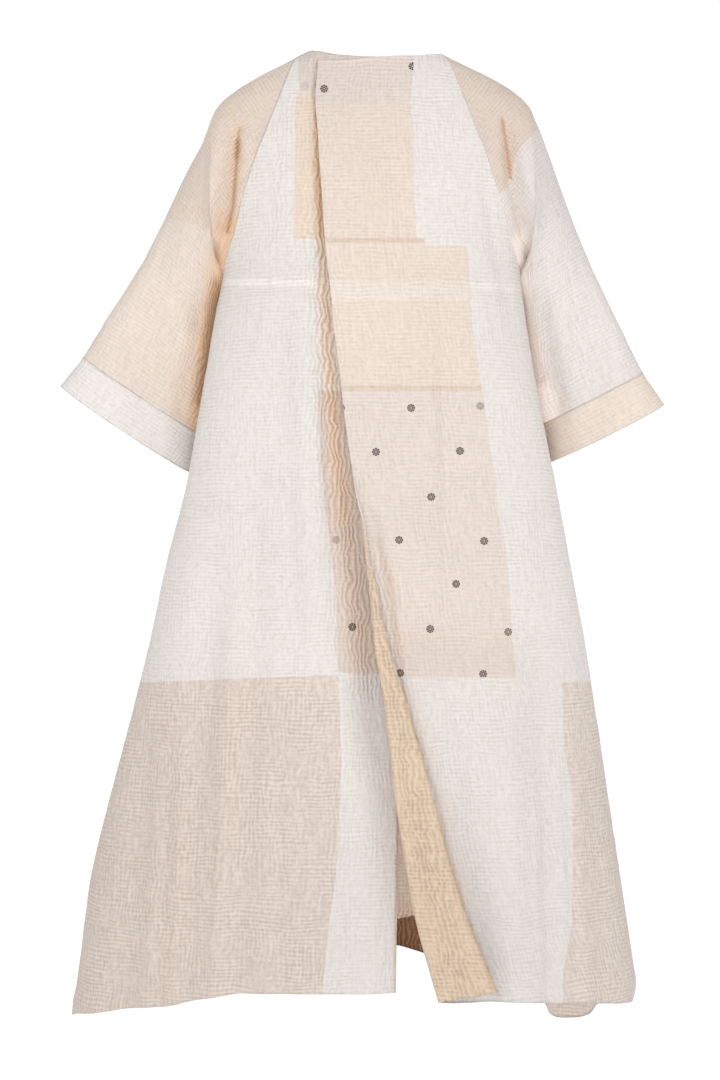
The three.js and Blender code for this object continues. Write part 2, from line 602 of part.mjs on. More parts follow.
// Sleeve rings from the seam to the cuff's seam, then the cuff's own rings.
function sleeveGrids(side, table, ring) {
  const numbered = table.map((row, place) => ({ place, ...row }));
  const section = columns(numbered, 'place');
  const sectionAt = (place) => Object.fromEntries(Object.entries(section).map(([name, read]) => [name, read(place)]));
  const cuffPlace = table.length - 2;
  const creased = (point) => {
    const inFront = point.y < sleeveMiddle(point.z);
    const folds = inFront ? FOLDS_SLEEVE_FRONT : FOLDS_SLEEVE_BACK;
    const rise = foldHeight(folds, Math.abs(point.x), point.z);
    point.y += inFront ? -rise : rise;
    return point;
  };
  const count = ring.length;
  const grid = [];
  for (let i = 0; i <= YOKE_RINGS; i += 1) {
    const share = i / YOKE_RINGS;
    grid.push(ring.map(({ point, away, leaving, gap }, j) => {
      const start = point.clone().addScaledVector(away, gap);
      const end = sleevePoint(side, sectionAt(0), j / count);
      const onward = sleevePoint(side, sectionAt(1), j / count).sub(end).normalize();
      const blend = smoothPath(start, leaving, end, onward, share);
      return i === 0 ? blend : creased(blend);
    }));
  }
  for (let i = 1; i <= SLEEVE_RINGS; i += 1) {
    const here = sectionAt((cuffPlace * i) / SLEEVE_RINGS);
    grid.push(ring.map((_, j) => creased(sleevePoint(side, here, j / count))));
  }
  const cuff = [];
  for (let i = 0; i <= CUFF_RINGS; i += 1) {
    const here = sectionAt(cuffPlace + i / CUFF_RINGS);
    cuff.push(ring.map((_, j) => creased(sleevePoint(side, here, j / count))));
  }
  const last = grid[grid.length - 1];
  cuff[0].forEach((point, j) => {
    const toCuff = cuff[1][j].clone().sub(point).normalize();
    last[j].addScaledVector(toCuff, -SEAM_GAP / 2);
    point.addScaledVector(toCuff, SEAM_GAP / 2);
  });
  return { grid, cuff };
}

function piece(name, grid, normals, closed, material) {
  const mesh = new THREE.Mesh(wall(grid, normals, closed), material);
  mesh.name = name;
  return mesh;
}

const garment = new THREE.Group();

const back = backGrid();
const frontUnder = frontUnderGrid();
const frontLapping = frontLappingGrid();
const backNormals = surfaceNormals(back, 1, false);
const underNormals = surfaceNormals(frontUnder, -1, false);
const lappingNormals = surfaceNormals(frontLapping, 1, false);
const lastBack = back[0].length - 1;
const backSeamLeft = finishSeam(back, backNormals, 0, 1);
const backSeamRight = finishSeam(back, backNormals, lastBack, lastBack - 1);
const frontSeamLeft = finishSeam(frontUnder, underNormals, 0, 1);
const frontSeamRight = finishSeam(frontLapping, lappingNormals, 0, 1);
shareSideNormals(frontSeamLeft, backSeamLeft);
shareSideNormals(frontSeamRight, backSeamRight);

garment.add(piece('back', back, backNormals, false, CREAM));
garment.add(piece('front_under', frontUnder, underNormals, false, CREAM));
garment.add(piece('front_lapping', frontLapping, lappingNormals, false, BEIGE));

const sleeves = [
  { name: 'right', side: -1, table: SLEEVE_LEFT, front: frontSeamLeft, behind: backSeamLeft, cuffColour: CREAM },
  { name: 'left', side: 1, table: SLEEVE_RIGHT, front: frontSeamRight, behind: backSeamRight, cuffColour: BEIGE },
];
for (const { name, side, table, front, behind, cuffColour } of sleeves) {
  const ring = seamRing(front, behind, side);
  const { grid, cuff } = sleeveGrids(side, table, ring);
  const normals = surfaceNormals(grid, -side, true);
  normals[0] = ring.map(({ normal }) => normal);
  garment.add(piece(`sleeve_${name}`, grid, normals, true, BEIGE));
  const cuffNormals = surfaceNormals(cuff, -side, true);
  cuffNormals[0] = normals[normals.length - 1];
  garment.add(piece(`cuff_${name}`, cuff, cuffNormals, true, cuffColour));
}

export default garment;
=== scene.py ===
"""A full-length open-front kimono of quilted patchwork cotton: its cloth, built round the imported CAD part.

Lengths in the tables are millimetres in the part's frame: +Z up, the front towards -Y. Left and right are the
viewer's in the tables of shapes and the wearer's in the names of pieces. Outlines of patches, motifs and soft
lines are in the camera's frame, 720 wide and 1080 high, and a point of the cloth is placed in it by looking
from the camera.
"""

import math

import bpy
import numpy as np
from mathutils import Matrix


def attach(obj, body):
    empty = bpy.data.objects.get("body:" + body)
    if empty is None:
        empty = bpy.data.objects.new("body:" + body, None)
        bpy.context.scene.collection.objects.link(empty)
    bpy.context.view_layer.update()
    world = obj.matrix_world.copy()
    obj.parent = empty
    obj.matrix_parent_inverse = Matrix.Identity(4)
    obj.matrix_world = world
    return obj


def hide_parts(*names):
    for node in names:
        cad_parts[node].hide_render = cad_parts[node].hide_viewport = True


EYE = (-14.7, -3200.0, -648.0)
FRAME_WIDTH, FRAME_HEIGHT = 720, 1080
FRAME_SCALE = 4 / 3  # millimetres for each unit of the frame, in the plane of the side seams
METRE = 1000  # millimetres

NECK_LEVEL = 0.0
HEM_LEVEL = -1230.0
UNDERARM_SHARE = 0.2275
RIDGE_SHARE = 0.985
SEAM_JOINS_SIDE = 10.0
LAP_STANDS_OUT = 4.0
LAP_SETTLES_OVER = 150.0
FOLD_RADIUS = 3.5
LAPPING_COLUMNS = 100
TURNED_FULLY = 90  # degrees from which the lapping edge is a round fold and no longer a free edge
BEND_SHARE = 0.3  # of the turned-back edge that bends at least
FLAP_RISES = 16
FLAP_RISES_FROM = -950
SLEEVE_POWER = 2.2
SHOULDER_SLOPE = -0.6
SEAM_GAP = 0.03
CUFF_GAP = 0.1
ARRIVES = 0.8
SIDE_FADE = 20.0
FOLD_STEPS = 25
FOLD_STRETCH = 0.35
FOLD_GROWS = 2.2
SLEEVE_FOLDS_GROW = 6  # rows from the seam
RING_STEPS = 30  # the raglan seam's length as the sleeve tables count it
SEAM_STEPS = 14  # of which this many lie in front, as many behind and two over the neck point
UNDERARM_STEPS = 3
NECK_STEPS = 5
UNDERARM_FLARE = 2
THICKNESS = 1.7
TUCK = 10  # how far the sleeve's underside leans in beside the body just under the arm
TUCK_FORWARD = 0.6
TUCK_MIDDLE = (206, -302)
TUCK_REACH = (11, 22)
TUCK_ROWS = 14  # rows from the seam over which it grows, and the share of them before it starts
TUCK_STARTS = 0.6
GRAIN = 0.35  # the cloth's small unevenness and its two kinds: cell width, cell height, seed and share
GRAIN_KINDS = [(22, 14, 7, 1), (9, 30, 11, 0.6)]
RANDOM_CELLS = 97

BODY_NAMES = ("z", "left", "right", "front", "back", "side", "power")
BODY = [
    (14, 56, 84, -48, 50, 0, 2),
    (5, 76, 90, -51, 53, 0, 2),
    (-3, 94, 99, -54, 57, 0, 2),
    (-24, 146, 157, -62, 68, 0, 1.9),
    (-61, 197, 205, -78, 86, 0, 1.8),
    (-115, 216, 220, -97, 100, -2, 1.9),
    (-170, 214, 217, -109, 107, -4, 2),
    (-230, 205, 207, -115, 109, -7, 2.1),
    (-290, 196, 198, -118, 109, -10, 2.1),
    (-345, 205, 203, -119, 110, -12, 2.1),
    (-400, 214, 211, -120, 112, -14, 2.1),
    (-505, 232, 230, -123, 119, -14, 2.1),
    (-573, 244, 244, -126, 125, -12, 2.1),
    (-675, 270, 263, -133, 134, -8, 2.1),
    (-781, 293, 283, -141, 144, -4, 2.1),
    (-888, 320, 300, -149, 153, 0, 2.1),
    (-995, 348, 316, -157, 162, 0, 2.1),
    (-1101, 373, 332, -165, 171, 0, 2.1),
    (-1208, 387, 348, -172, 179, 0, 2.1),
    (-1236, 391, 352, -174, 181, 0, 2.1),
    (-1264, 396, 347, -176, 183, 0, 2.1),
    (-1315, 400, 343, -178, 185, 0, 2.1),
]
RAGLAN_NAMES = ("z", "front", "back")
RAGLAN = [
    (12, 90, 88), (0, 92, 90), (-10, 97, 94), (-24, 104, 100), (-54, 115, 112), (-101, 132, 130),
    (-150, 151, 149), (-200, 167, 166), (-246, 179, 180), (-272, 189, 190), (-288, 195, 196),
]
NECK_FRONT = [
    (-1, -9), (-0.74, -1.5), (-0.6, -5), (-0.42, -11), (0, -15), (0.5, -13), (0.75, -9), (1, -5),
]
NECK_LAPPING = [
    (-1, -19), (-0.6, -19.5), (-0.4, -21), (-0.2, -20), (0, -17), (0.3, -14), (0.5, -13), (0.75, -9),
    (1, -5),
]
NECK_BACK = [
    (-1, -9), (-0.74, -1.5), (-0.5, -2), (0, -5), (0.6, -6), (1, -5),
]
HEM_FRONT = [
    (-1, -1281), (-0.87, -1272), (-0.737, -1265), (-0.578, -1252), (-0.46, -1245), (-0.364, -1233),
    (-0.245, -1223), (0.06, -1221), (0.15, -1232), (0.3, -1234), (0.436, -1240), (0.628, -1248),
    (0.85, -1256), (1, -1259),
]
HEM_BACK = [
    (-1, -1281), (-0.6, -1268), (0, -1216), (0.3, -1256), (0.44, -1280), (0.49, -1290), (0.51, -1305),
    (0.54, -1309), (0.61, -1306), (0.67, -1298), (0.7, -1284), (0.74, -1272), (0.82, -1264), (1, -1259),
]
LAP_NAMES = ("z", "x", "turned", "beyond")
LAP_EDGE = [
    (12, -68, 0, 9), (-20, -69, 0, 9), (-77, -72, 0, 9), (-118, -69, 0, 9), (-158, -66.5, 0, 9),
    (-198, -63.5, 0, 9), (-262, -59.5, 0, 9), (-320, -53, 0, 9), (-378, -47.5, 0, 9), (-430, -41, 0, 9),
    (-479, -35.5, 0, 9), (-528, -29, 0, 9), (-560, -24, 20, 10), (-600, -16, 80, 11), (-661, -8, 150, 12),
    (-725, -1, 166, 18), (-789, 5, 168, 26), (-839, 14, 168, 34), (-997, 33, 168, 58), (-1122, 54, 168, 70),
    (-1240, 86, 168, 82),
]
UNDER_NAMES = ("z", "x", "sink_from", "sink_over", "sink")
UNDER_EDGE = [
    (12, 52, -82, 24, 0), (-10, 52, -82, 24, 1), (-50, 52, -82.5, 22, 7), (-100, 52, -83, 22, 8),
    (-300, 50, -78, 24, 11), (-532, 44, -70, 36, 16), (-716, 40, -52, 46, 22), (-860, 37, -42, 50, 24),
    (-1002, 35, -22, 50, 18), (-1250, 30, 0, 60, 15),
]
SLEEVE_NAMES = ("place", "top_x", "top_y", "top_z", "low_x", "low_y", "low_z", "front", "back", "droop")
SLEEVE_LEFT = [
    (0, 210, 0, -86, 210, 1, -278, 76, 78, 0),
    (1, 222, 0, -117, 206, 12, -300, 72, 74, 0),
    (2, 249, 2, -168, 204, 27, -341, 62, 62, 0),
    (3, 302, 4, -275, 214, 34, -403, 50, 46, 0),
    (4, 347, 6, -345, 223, 37, -458, 42, 40, 0),
    (5, 384, 8, -404, 230, 38, -507, 38, 36, 3),
    (6, 414, 8, -442, 241, 38, -557, 38, 36, 6),
]
SLEEVE_RIGHT = [
    (0, 213, 0, -81, 211, 1, -279, 78, 80, 0),
    (1, 228, 0, -116, 207, 12, -301, 74, 78, 0),
    (2, 247, 2, -168, 204, 27, -341, 64, 70, 0),
    (3, 289, 4, -275, 211, 34, -403, 54, 62, 0),
    (4, 325, 6, -350, 219, 37, -448, 48, 58, 0),
    (5, 362, 8, -424, 226, 38, -493, 44, 56, 3),
    (6, 391, 8, -467, 236, 38, -544, 44, 56, 5),
]
SLEEVE_MIDDLE = [(-60, 0), (-210, 12), (-360, 24)]

# Folds as curves in the front view: start, the middle's pull, end, half width, and rise, which is less than 0
# for a trough. The first of each list are the part's own, and the narrow ones after them lie within those.
FOLDS_FRONT_UNDER = [
    ((-182, -560), (-215, -800), (-238, -1250), 26, -11),
    ((-150, -430), (-150, -760), (-178, -1235), 24, -9),
    ((-165, -640), (-185, -900), (-208, -1240), 22, 7),
    ((-92, -250), (-92, -480), (-72, -760), 16, 7),
    ((-280, -760), (-300, -980), (-322, -1265), 24, -8),
    ((-262, -850), (-262, -1050), (-278, -1260), 9, -5),
    ((-241, -840), (-243, -1040), (-254, -1250), 8, 4),
    ((-196, -900), (-206, -1080), (-214, -1240), 8, -4),
    ((-120, -860), (-118, -1050), (-112, -1230), 12, -4),
    ((-66, -420), (-58, -600), (-40, -800), 7, -4),
]
FOLDS_FRONT_LAPPING = [
    ((92, -330), (110, -520), (104, -760), 20, -5),
    ((60, -640), (92, -900), (150, -1230), 18, -7),
    ((215, -700), (226, -950), (232, -1240), 30, -8),
    ((160, -760), (178, -1000), (190, -1235), 26, 6),
    ((285, -860), (296, -1050), (306, -1260), 22, -7),
    ((75, -260), (96, -420), (92, -640), 7, -2.5),
    ((112, -300), (120, -460), (118, -620), 8, 2),
    ((142, -130), (150, -230), (176, -330), 8, -2.5),
    ((252, -880), (262, -1060), (266, -1250), 9, -4),
    ((208, -860), (214, -1060), (216, -1240), 8, 3),
]
FOLDS_BACK = [
    ((-40, -420), (-52, -800), (-70, -1230), 30, -11),
    ((60, -380), (74, -800), (84, -1240), 32, -12),
    ((-150, -480), (-178, -860), (-210, -1250), 28, -10),
    ((165, -520), (196, -880), (222, -1290), 28, -11),
    ((6, -560), (8, -900), (10, -1230), 26, 8),
    ((-262, -700), (-288, -960), (-312, -1270), 24, -8),
    ((-100, -600), (-112, -900), (-126, -1240), 9, -4),
    ((120, -620), (136, -900), (150, -1260), 9, -4),
    ((30, -700), (38, -950), (44, -1230), 8, 4),
    ((150, -90), (140, -170), (146, -300), 10, -4),
    ((-150, -90), (-140, -170), (-148, -310), 10, -4),
]
FOLDS_SLEEVE_FRONT = [
    ((176, -68), (174, -150), (206, -248), 10, -8),
    ((196, -96), (204, -180), (214, -300), 12, 3),
    ((250, -230), (262, -330), (300, -440), 20, -6),
    ((172, -84), (170, -160), (196, -240), 5, -5),
    ((222, -300), (232, -380), (252, -460), 9, -5),
    ((244, -180), (276, -280), (318, -400), 9, -3),
]
FOLDS_SLEEVE_BACK = [
    ((180, -80), (186, -170), (200, -262), 14, -13),
    ((246, -210), (262, -330), (306, -450), 22, -7),
    ((222, -280), (238, -380), (262, -470), 9, -4),
    ((260, -190), (290, -290), (330, -400), 9, -3),
]


def clamp01(value):
    return np.clip(value, 0.0, 1.0)


def mix(a, b, share):
    return a + (b - a) * share


def ease(value):
    held = clamp01(value)
    return held * held * (3 - 2 * held)


def curve(points):
    """A smooth function through points of (place, value) that has no overshoot between them."""
    ordered = sorted(points)
    at = np.array([p[0] for p in ordered], float)
    value = np.array([p[1] for p in ordered], float)
    steps = np.diff(value) / np.diff(at)
    slopes = np.empty(len(at))
    slopes[0], slopes[-1] = steps[0], steps[-1]
    product = steps[:-1] * steps[1:]
    total = np.where(product > 0, steps[:-1] + steps[1:], 1.0)
    slopes[1:-1] = np.where(product > 0, 2 * product / total, 0.0)

    def read(place):
        place = np.clip(place, at[0], at[-1])
        i = np.clip(np.searchsorted(at, place) - 1, 0, len(at) - 2)
        width = at[i + 1] - at[i]
        t = (place - at[i]) / width
        bend = t * t * (3 - 2 * t)
        pull = slopes[i] * t * (1 - t) ** 2 - slopes[i + 1] * t * t * (1 - t)
        return value[i] * (1 - bend) + value[i + 1] * bend + width * pull

    return read


def curves(names, table):
    return {name: curve([(row[0], row[k]) for row in table]) for k, name in enumerate(names) if k > 0}


body = curves(BODY_NAMES, BODY)
raglan = curves(RAGLAN_NAMES, RAGLAN)
lap = curves(LAP_NAMES, LAP_EDGE)
under = curves(UNDER_NAMES, UNDER_EDGE)
neck_front, neck_lapping, neck_back = curve(NECK_FRONT), curve(NECK_LAPPING), curve(NECK_BACK)
hem_front, hem_back = curve(HEM_FRONT), curve(HEM_BACK)
sleeve_middle = curve(SLEEVE_MIDDLE)


def unit(vectors):
    return vectors / np.maximum(np.linalg.norm(vectors, axis=-1, keepdims=True), 1e-9)


def body_half(x, z):
    return np.where(x < 0, body["left"](z), body["right"](z))


def body_point(face, turn, z):
    """Points of the body's plain form. turn runs from -1 at the left side seam to 1 at the right one."""
    angle = turn * math.pi / 2
    power = 2 / body["power"](z)
    across = np.sign(turn) * np.abs(np.sin(angle)) ** power
    deep = np.abs(np.cos(angle)) ** power
    x = across * body_half(turn, z)
    return np.stack(np.broadcast_arrays(x, mix(body["side"](z), body[face](z), deep), z), axis=-1)


def turn_at(x, z):
    share = np.minimum(1, np.abs(x) / body_half(x, z))
    return np.sign(x) * np.arcsin(share ** (body["power"](z) / 2)) * 2 / math.pi


def edge_turn(face, side, z, underarm):
    """The turn at which a panel ends: at the raglan seam, and at the side seam below the underarm."""
    z = np.asarray(z, float)
    half = body_half(np.full_like(z, side), z)
    near_underarm = ease(1 - (z - underarm) / SEAM_JOINS_SIDE)
    x = mix(np.minimum(raglan[face](z), half * RIDGE_SHARE), half, near_underarm)
    return np.where(z <= underarm, float(side), turn_at(side * x, z))


def outward(points):
    """Level directions away from the body's middle."""
    x, y, z = points[..., 0], points[..., 1], points[..., 2]
    half = body_half(x, z)
    reach = np.abs(np.where(y < body["side"](z), body["front"](z), body["back"](z)) - body["side"](z))
    power = body["power"](z) - 1
    across, deep = x / half, (y - body["side"](z)) / reach
    level = np.stack([
        np.sign(across) * np.abs(across) ** power / half,
        np.sign(deep) * np.abs(deep) ** power / reach,
        np.zeros_like(x),
    ], axis=-1)
    return unit(level)


def fold_height(folds, x, z):
    total = np.zeros_like(x)
    t = np.linspace(0, 1, FOLD_STEPS)
    for start, pull, end, width, height in folds:
        curve_x = start[0] * (1 - t) ** 2 + 2 * pull[0] * t * (1 - t) + end[0] * t * t
        curve_z = start[1] * (1 - t) ** 2 + 2 * pull[1] * t * (1 - t) + end[1] * t * t
        nearest = np.full(x.shape, np.inf)
        along = np.zeros_like(x)
        for k, place in enumerate(t):
            distance = np.hypot(x - curve_x[k], (z - curve_z[k]) * FOLD_STRETCH)
            closer = distance < nearest
            nearest = np.where(closer, distance, nearest)
            along = np.where(closer, place, along)
        total += height * ease(along * FOLD_GROWS) * np.exp(-((nearest / width) ** 2))
    return total


def unevenness(u, v, size_u, size_v, seed):
    """Smooth random heights from -1 to 1, in cells of the given size."""
    cells = np.random.default_rng(seed).uniform(-1, 1, (RANDOM_CELLS, RANDOM_CELLS))
    column, row = u / size_u + 1000, v / size_v + 1000
    j, i = np.floor(column).astype(int), np.floor(row).astype(int)
    s, t = ease(column - j), ease(row - i)
    corner = [[cells[(i + di) % RANDOM_CELLS, (j + dj) % RANDOM_CELLS] for dj in (0, 1)] for di in (0, 1)]
    return mix(mix(corner[0][0], corner[0][1], s), mix(corner[1][0], corner[1][1], s), t)


def in_frame(points):
    """Where points lie in the camera's frame."""
    near = -EYE[1] / (points[..., 1] - EYE[1])
    across = FRAME_WIDTH / 2 + (points[..., 0] - EYE[0]) * near / FRAME_SCALE
    down = FRAME_HEIGHT / 2 - (points[..., 2] - EYE[2]) * near / FRAME_SCALE
    return np.stack([across, down], axis=-1)


def segment_distance(places, start, end):
    edge = end - start
    share = clamp01(((places - start) @ edge) / max(edge @ edge, 1e-9))
    return np.linalg.norm(places - start - share[..., None] * edge, axis=-1)


def outline_distance(places, outline):
    """How far places in the frame lie outside an outline. Inside it the distance is less than 0."""
    corners = np.array(outline, float)
    nearest = np.full(places.shape[:-1], np.inf)
    inside = np.zeros(places.shape[:-1], bool)
    for start, end in zip(corners, np.roll(corners, -1, axis=0)):
        nearest = np.minimum(nearest, segment_distance(places, start, end))
        crosses = (start[1] > places[..., 1]) != (end[1] > places[..., 1])
        rise = end[1] - start[1] if end[1] != start[1] else 1e-9
        meets = start[0] + (places[..., 1] - start[1]) * (end[0] - start[0]) / rise
        inside ^= crosses & (places[..., 0] < meets)
    return np.where(inside, -nearest, nearest)


def line_weight(places, lines):
    """How strongly places in the frame are touched by soft lines, each (corners, half width, strength)."""
    total = np.zeros(places.shape[:-1])
    for corners, width, strength in lines:
        points = np.array(corners, float)
        nearest = np.full(total.shape, np.inf)
        for start, end in zip(points[:-1], points[1:]):
            nearest = np.minimum(nearest, segment_distance(places, start, end))
        total = np.maximum(total, strength * np.exp(-((nearest / width) ** 2)))
    return total


def surface_normals(grid, closed):
    if closed:
        wide = np.concatenate([grid[:, -1:], grid, grid[:, :1]], axis=1)
        across = np.gradient(wide, axis=1)[:, 1:-1]
    else:
        across = np.gradient(grid, axis=1)
    along = np.gradient(grid, axis=0)
    return unit(np.cross(across, along))


def lengths(grid, axis):
    """Cloth length from the first row or column of a grid."""
    steps = np.linalg.norm(np.diff(grid, axis=axis), axis=-1)
    first = np.zeros_like(np.take(steps, [0], axis=axis))
    return np.cumsum(np.concatenate([first, steps], axis=axis), axis=axis)


LEFT_UNDERARM = float(mix(neck_front(-1), hem_front(-1), UNDERARM_SHARE))
RIGHT_UNDERARM = float(mix(neck_front(1), hem_front(1), UNDERARM_SHARE))


def panel_grid(face, neck, hem, rows, columns, start_turn, end_turn):
    """The middle points of a panel in rows from neck to hem, each from its start turn to its end turn."""
    across = np.linspace(0, 1, columns + 1)[None, :]
    share = np.linspace(0, 1, rows + 1)[:, None]
    neck_turn = mix(start_turn(NECK_LEVEL), end_turn(NECK_LEVEL), across)
    left_width = abs(float(edge_turn(face, -1, NECK_LEVEL, -math.inf)))
    right_width = abs(float(edge_turn(face, 1, NECK_LEVEL, -math.inf)))
    neck_width = np.where(neck_turn < 0, left_width, right_width)
    hem_turn = mix(start_turn(HEM_LEVEL), end_turn(HEM_LEVEL), across)
    z = mix(neck(neck_turn / neck_width), hem(hem_turn), share)
    turn = mix(start_turn(z), end_turn(z), across)
    return body_point(face, turn, z)


def shaped(points, folds, extra):
    """Points moved out by the folds, which fade towards the side seams, and by what comes on top of them."""
    fade = ease(np.abs(points[..., 1] - body["side"](points[..., 2])) / SIDE_FADE)
    rise = fade * fold_height(folds, points[..., 0], points[..., 2]) + extra
    return points + outward(points) * rise[..., None]


def back_panel(rows=300, columns=150):
    grid = panel_grid("back", neck_back, hem_back, rows, columns,
                      lambda z: edge_turn("back", -1, z, LEFT_UNDERARM),
                      lambda z: edge_turn("back", 1, z, RIGHT_UNDERARM))
    return shaped(grid, FOLDS_BACK, 0)


def front_under_panel(rows=300, columns=110):
    grid = panel_grid("front", neck_front, hem_front, rows, columns,
                      lambda z: edge_turn("front", -1, z, LEFT_UNDERARM),
                      lambda z: turn_at(under["x"](z), z))
    x, z = grid[..., 0], grid[..., 2]
    sink = -under["sink"](z) * ease((x - under["sink_from"](z)) / under["sink_over"](z))
    return shaped(grid, FOLDS_FRONT_UNDER, sink)


def front_lapping_panel(rows=300, columns=LAPPING_COLUMNS):
    def past(z):
        return mix(lap["beyond"](z), FOLD_RADIUS, ease(lap["turned"](z) / TURNED_FULLY))

    grid = panel_grid("front", neck_lapping, hem_front, rows, columns,
                      lambda z: edge_turn("front", 1, z, RIGHT_UNDERARM),
                      lambda z: turn_at(lap["x"](z) + past(z), z))
    x, z = grid[..., 0], grid[..., 2]
    stands = LAP_STANDS_OUT * ease(1 - (x - lap["x"](z)) / LAP_SETTLES_OVER)
    grid = shaped(grid, FOLDS_FRONT_LAPPING, stands)
    return np.concatenate([grid, turned_edge(grid)], axis=1)


def turned_edge(grid, columns=24):
    """The lapping front's free edge: straight on above the waist, and turned back outward below it."""
    fold = grid[:, -1]
    level = unit((fold - grid[:, -2]) * np.array([1, 1, 0]))
    out = np.stack([level[:, 1], -level[:, 0], np.zeros(len(level))], axis=-1)
    out = np.where(out[:, 1:2] > 0, -out, out)
    height = fold[:, 2]
    angle = np.radians(lap["turned"](height))
    length = lap["beyond"](height)
    bends_over = np.maximum(FOLD_RADIUS * angle, length * BEND_SHARE)
    rises = FLAP_RISES * ease((FLAP_RISES_FROM - height) / (FLAP_RISES_FROM - HEM_LEVEL))
    bend_columns = columns // 2
    points = []
    for k in range(1, columns + 1):
        if k <= bend_columns:
            reach = bends_over * k / bend_columns
        else:
            reach = mix(bends_over, length, (k - bend_columns) / (columns - bend_columns))
        bent = np.where(angle > 0.01, np.minimum(angle, reach / FOLD_RADIUS), 0)
        straight = reach - FOLD_RADIUS * bent
        across = FOLD_RADIUS * np.sin(bent) + straight * np.cos(bent)
        lift = FOLD_RADIUS * (1 - np.cos(bent)) + straight * np.sin(bent)
        point = fold + level * across[:, None] + out * lift[:, None]
        point[:, 2] += rises * reach / length
        points.append(point)
    return np.stack(points, axis=1)


def seam_points(face, side, share):
    """Points of the raglan seam and the direction that leads from the panel across it."""
    neck, hem = (neck_front, hem_front) if face == "front" else (neck_back, hem_back)
    underarm = LEFT_UNDERARM if side < 0 else RIGHT_UNDERARM
    z = mix(neck(side), hem(side), share)
    turn = edge_turn(face, side, z, underarm)
    point = body_point(face, turn, z)
    return point, unit(point - body_point(face, turn - side * 0.04, z))


def seam_ring(side, count):
    """The raglan seam as a ring: from the underarm up the front, over the neck point and down the back."""
    step = np.linspace(0, RING_STEPS, count, endpoint=False)
    front_share = UNDERARM_SHARE * clamp01((SEAM_STEPS - step) / SEAM_STEPS)
    back_share = UNDERARM_SHARE * clamp01((step - SEAM_STEPS - 2) / SEAM_STEPS)
    front, front_away = seam_points("front", side, front_share)
    back, back_away = seam_points("back", side, back_share)
    over_neck = clamp01((step - SEAM_STEPS) / 2)[:, None]
    point = mix(front, back, over_neck)
    shoulder = unit(np.array([side, 0.0, SHOULDER_SLOPE]))
    near_top = ease(1 - np.abs(step - SEAM_STEPS - 1))[:, None]
    away = mix(np.where(step[:, None] < SEAM_STEPS + 1, front_away, back_away), shoulder, near_top)
    from_underarm = np.minimum(step, RING_STEPS - step)
    away = unit(mix(away, np.array([0.0, 0.0, 1.0]), ease(1 - from_underarm)[:, None]))
    near_underarm = ease(1 - from_underarm / UNDERARM_STEPS)[:, None]
    near_neck = ease(1 - np.abs(step - RING_STEPS / 2) / NECK_STEPS)[:, None]
    flare = np.array([side, 0.0, 0.0]) * UNDERARM_FLARE * near_underarm
    leaving = unit(mix(away + flare, shoulder, near_neck))
    return step, point, away, leaving


def sleeve_points(side, section, share):
    """A ring of a sleeve, from its underside up the front, over the top and down the back."""
    angle = share * 2 * math.pi
    power = 2 / SLEEVE_POWER
    along = -np.sign(np.cos(angle)) * np.abs(np.cos(angle)) ** power
    deep = np.abs(np.sin(angle)) ** power
    bulge = np.where(np.sin(angle) > 0, -section["front"], section["back"])
    up = (along + 1) / 2
    x = side * mix(section["low_x"], section["top_x"], up)
    y = mix(section["low_y"], section["top_y"], up) + bulge * deep
    z = mix(section["low_z"], section["top_z"], up) - section["droop"] * deep
    return np.stack([x, y, z], axis=-1)


def sleeve_folds(grid):
    in_front = grid[..., 1] < sleeve_middle(grid[..., 2])
    x, z = np.abs(grid[..., 0]), grid[..., 2]
    front = fold_height(FOLDS_SLEEVE_FRONT, x, z)
    return np.where(in_front, -front, fold_height(FOLDS_SLEEVE_BACK, x, z))


def tuck_under_arm(grid, side):
    """How far each point of a sleeve leans in, just under the arm."""
    across = (np.abs(grid[..., 0]) - TUCK_MIDDLE[0]) / TUCK_REACH[0]
    up = (grid[..., 2] - TUCK_MIDDLE[1]) / TUCK_REACH[1]
    from_seam = np.arange(len(grid))[:, None]
    lean = TUCK * np.exp(-across ** 2 - up ** 2) * ease(from_seam / TUCK_ROWS - TUCK_STARTS)
    return np.stack([-side * lean, lean * TUCK_FORWARD, np.zeros_like(lean)], axis=-1)


def sleeve_grid(side, table, yoke_rows=36, sleeve_rows=112, cuff_rows=14, columns=190):
    """The middle points of a sleeve with its shoulder, and of its cuff, in rings from the seam down."""
    sections = curves(SLEEVE_NAMES, table)
    step, start, away, leaving = seam_ring(side, columns)
    share = step / RING_STEPS

    def ring_at(place):
        return sleeve_points(side, {name: float(read(place)) for name, read in sections.items()}, share)

    end = ring_at(0)
    onward = unit(ring_at(1) - end)
    begin = start + away * SEAM_GAP
    length = np.linalg.norm(end - begin, axis=-1, keepdims=True)
    rings = []
    for k in range(yoke_rows):
        t = k / yoke_rows
        rest = 1 - t
        rings.append(begin * rest * rest * (1 + 2 * t) + end * t * t * (3 - 2 * t)
                     + leaving * length * t * rest * rest - onward * length * ARRIVES * t * t * rest)
    cuff_place = len(table) - 2
    for k in range(sleeve_rows + 1):
        rings.append(ring_at(cuff_place * k / sleeve_rows))
    sleeve = np.stack(rings)
    cuff = np.stack([ring_at(cuff_place + k / cuff_rows) for k in range(cuff_rows + 1)])
    grows = ease(np.arange(len(sleeve)) / SLEEVE_FOLDS_GROW)[:, None]
    rise = sleeve_folds(sleeve) * grows
    sleeve += tuck_under_arm(sleeve, side)
    sleeve[..., 1] += rise
    cuff[..., 1] += sleeve_folds(cuff)
    toward = unit(cuff[1] - cuff[0])
    sleeve[-1] -= toward * CUFF_GAP
    cuff[0] += toward * CUFF_GAP
    return sleeve, cuff


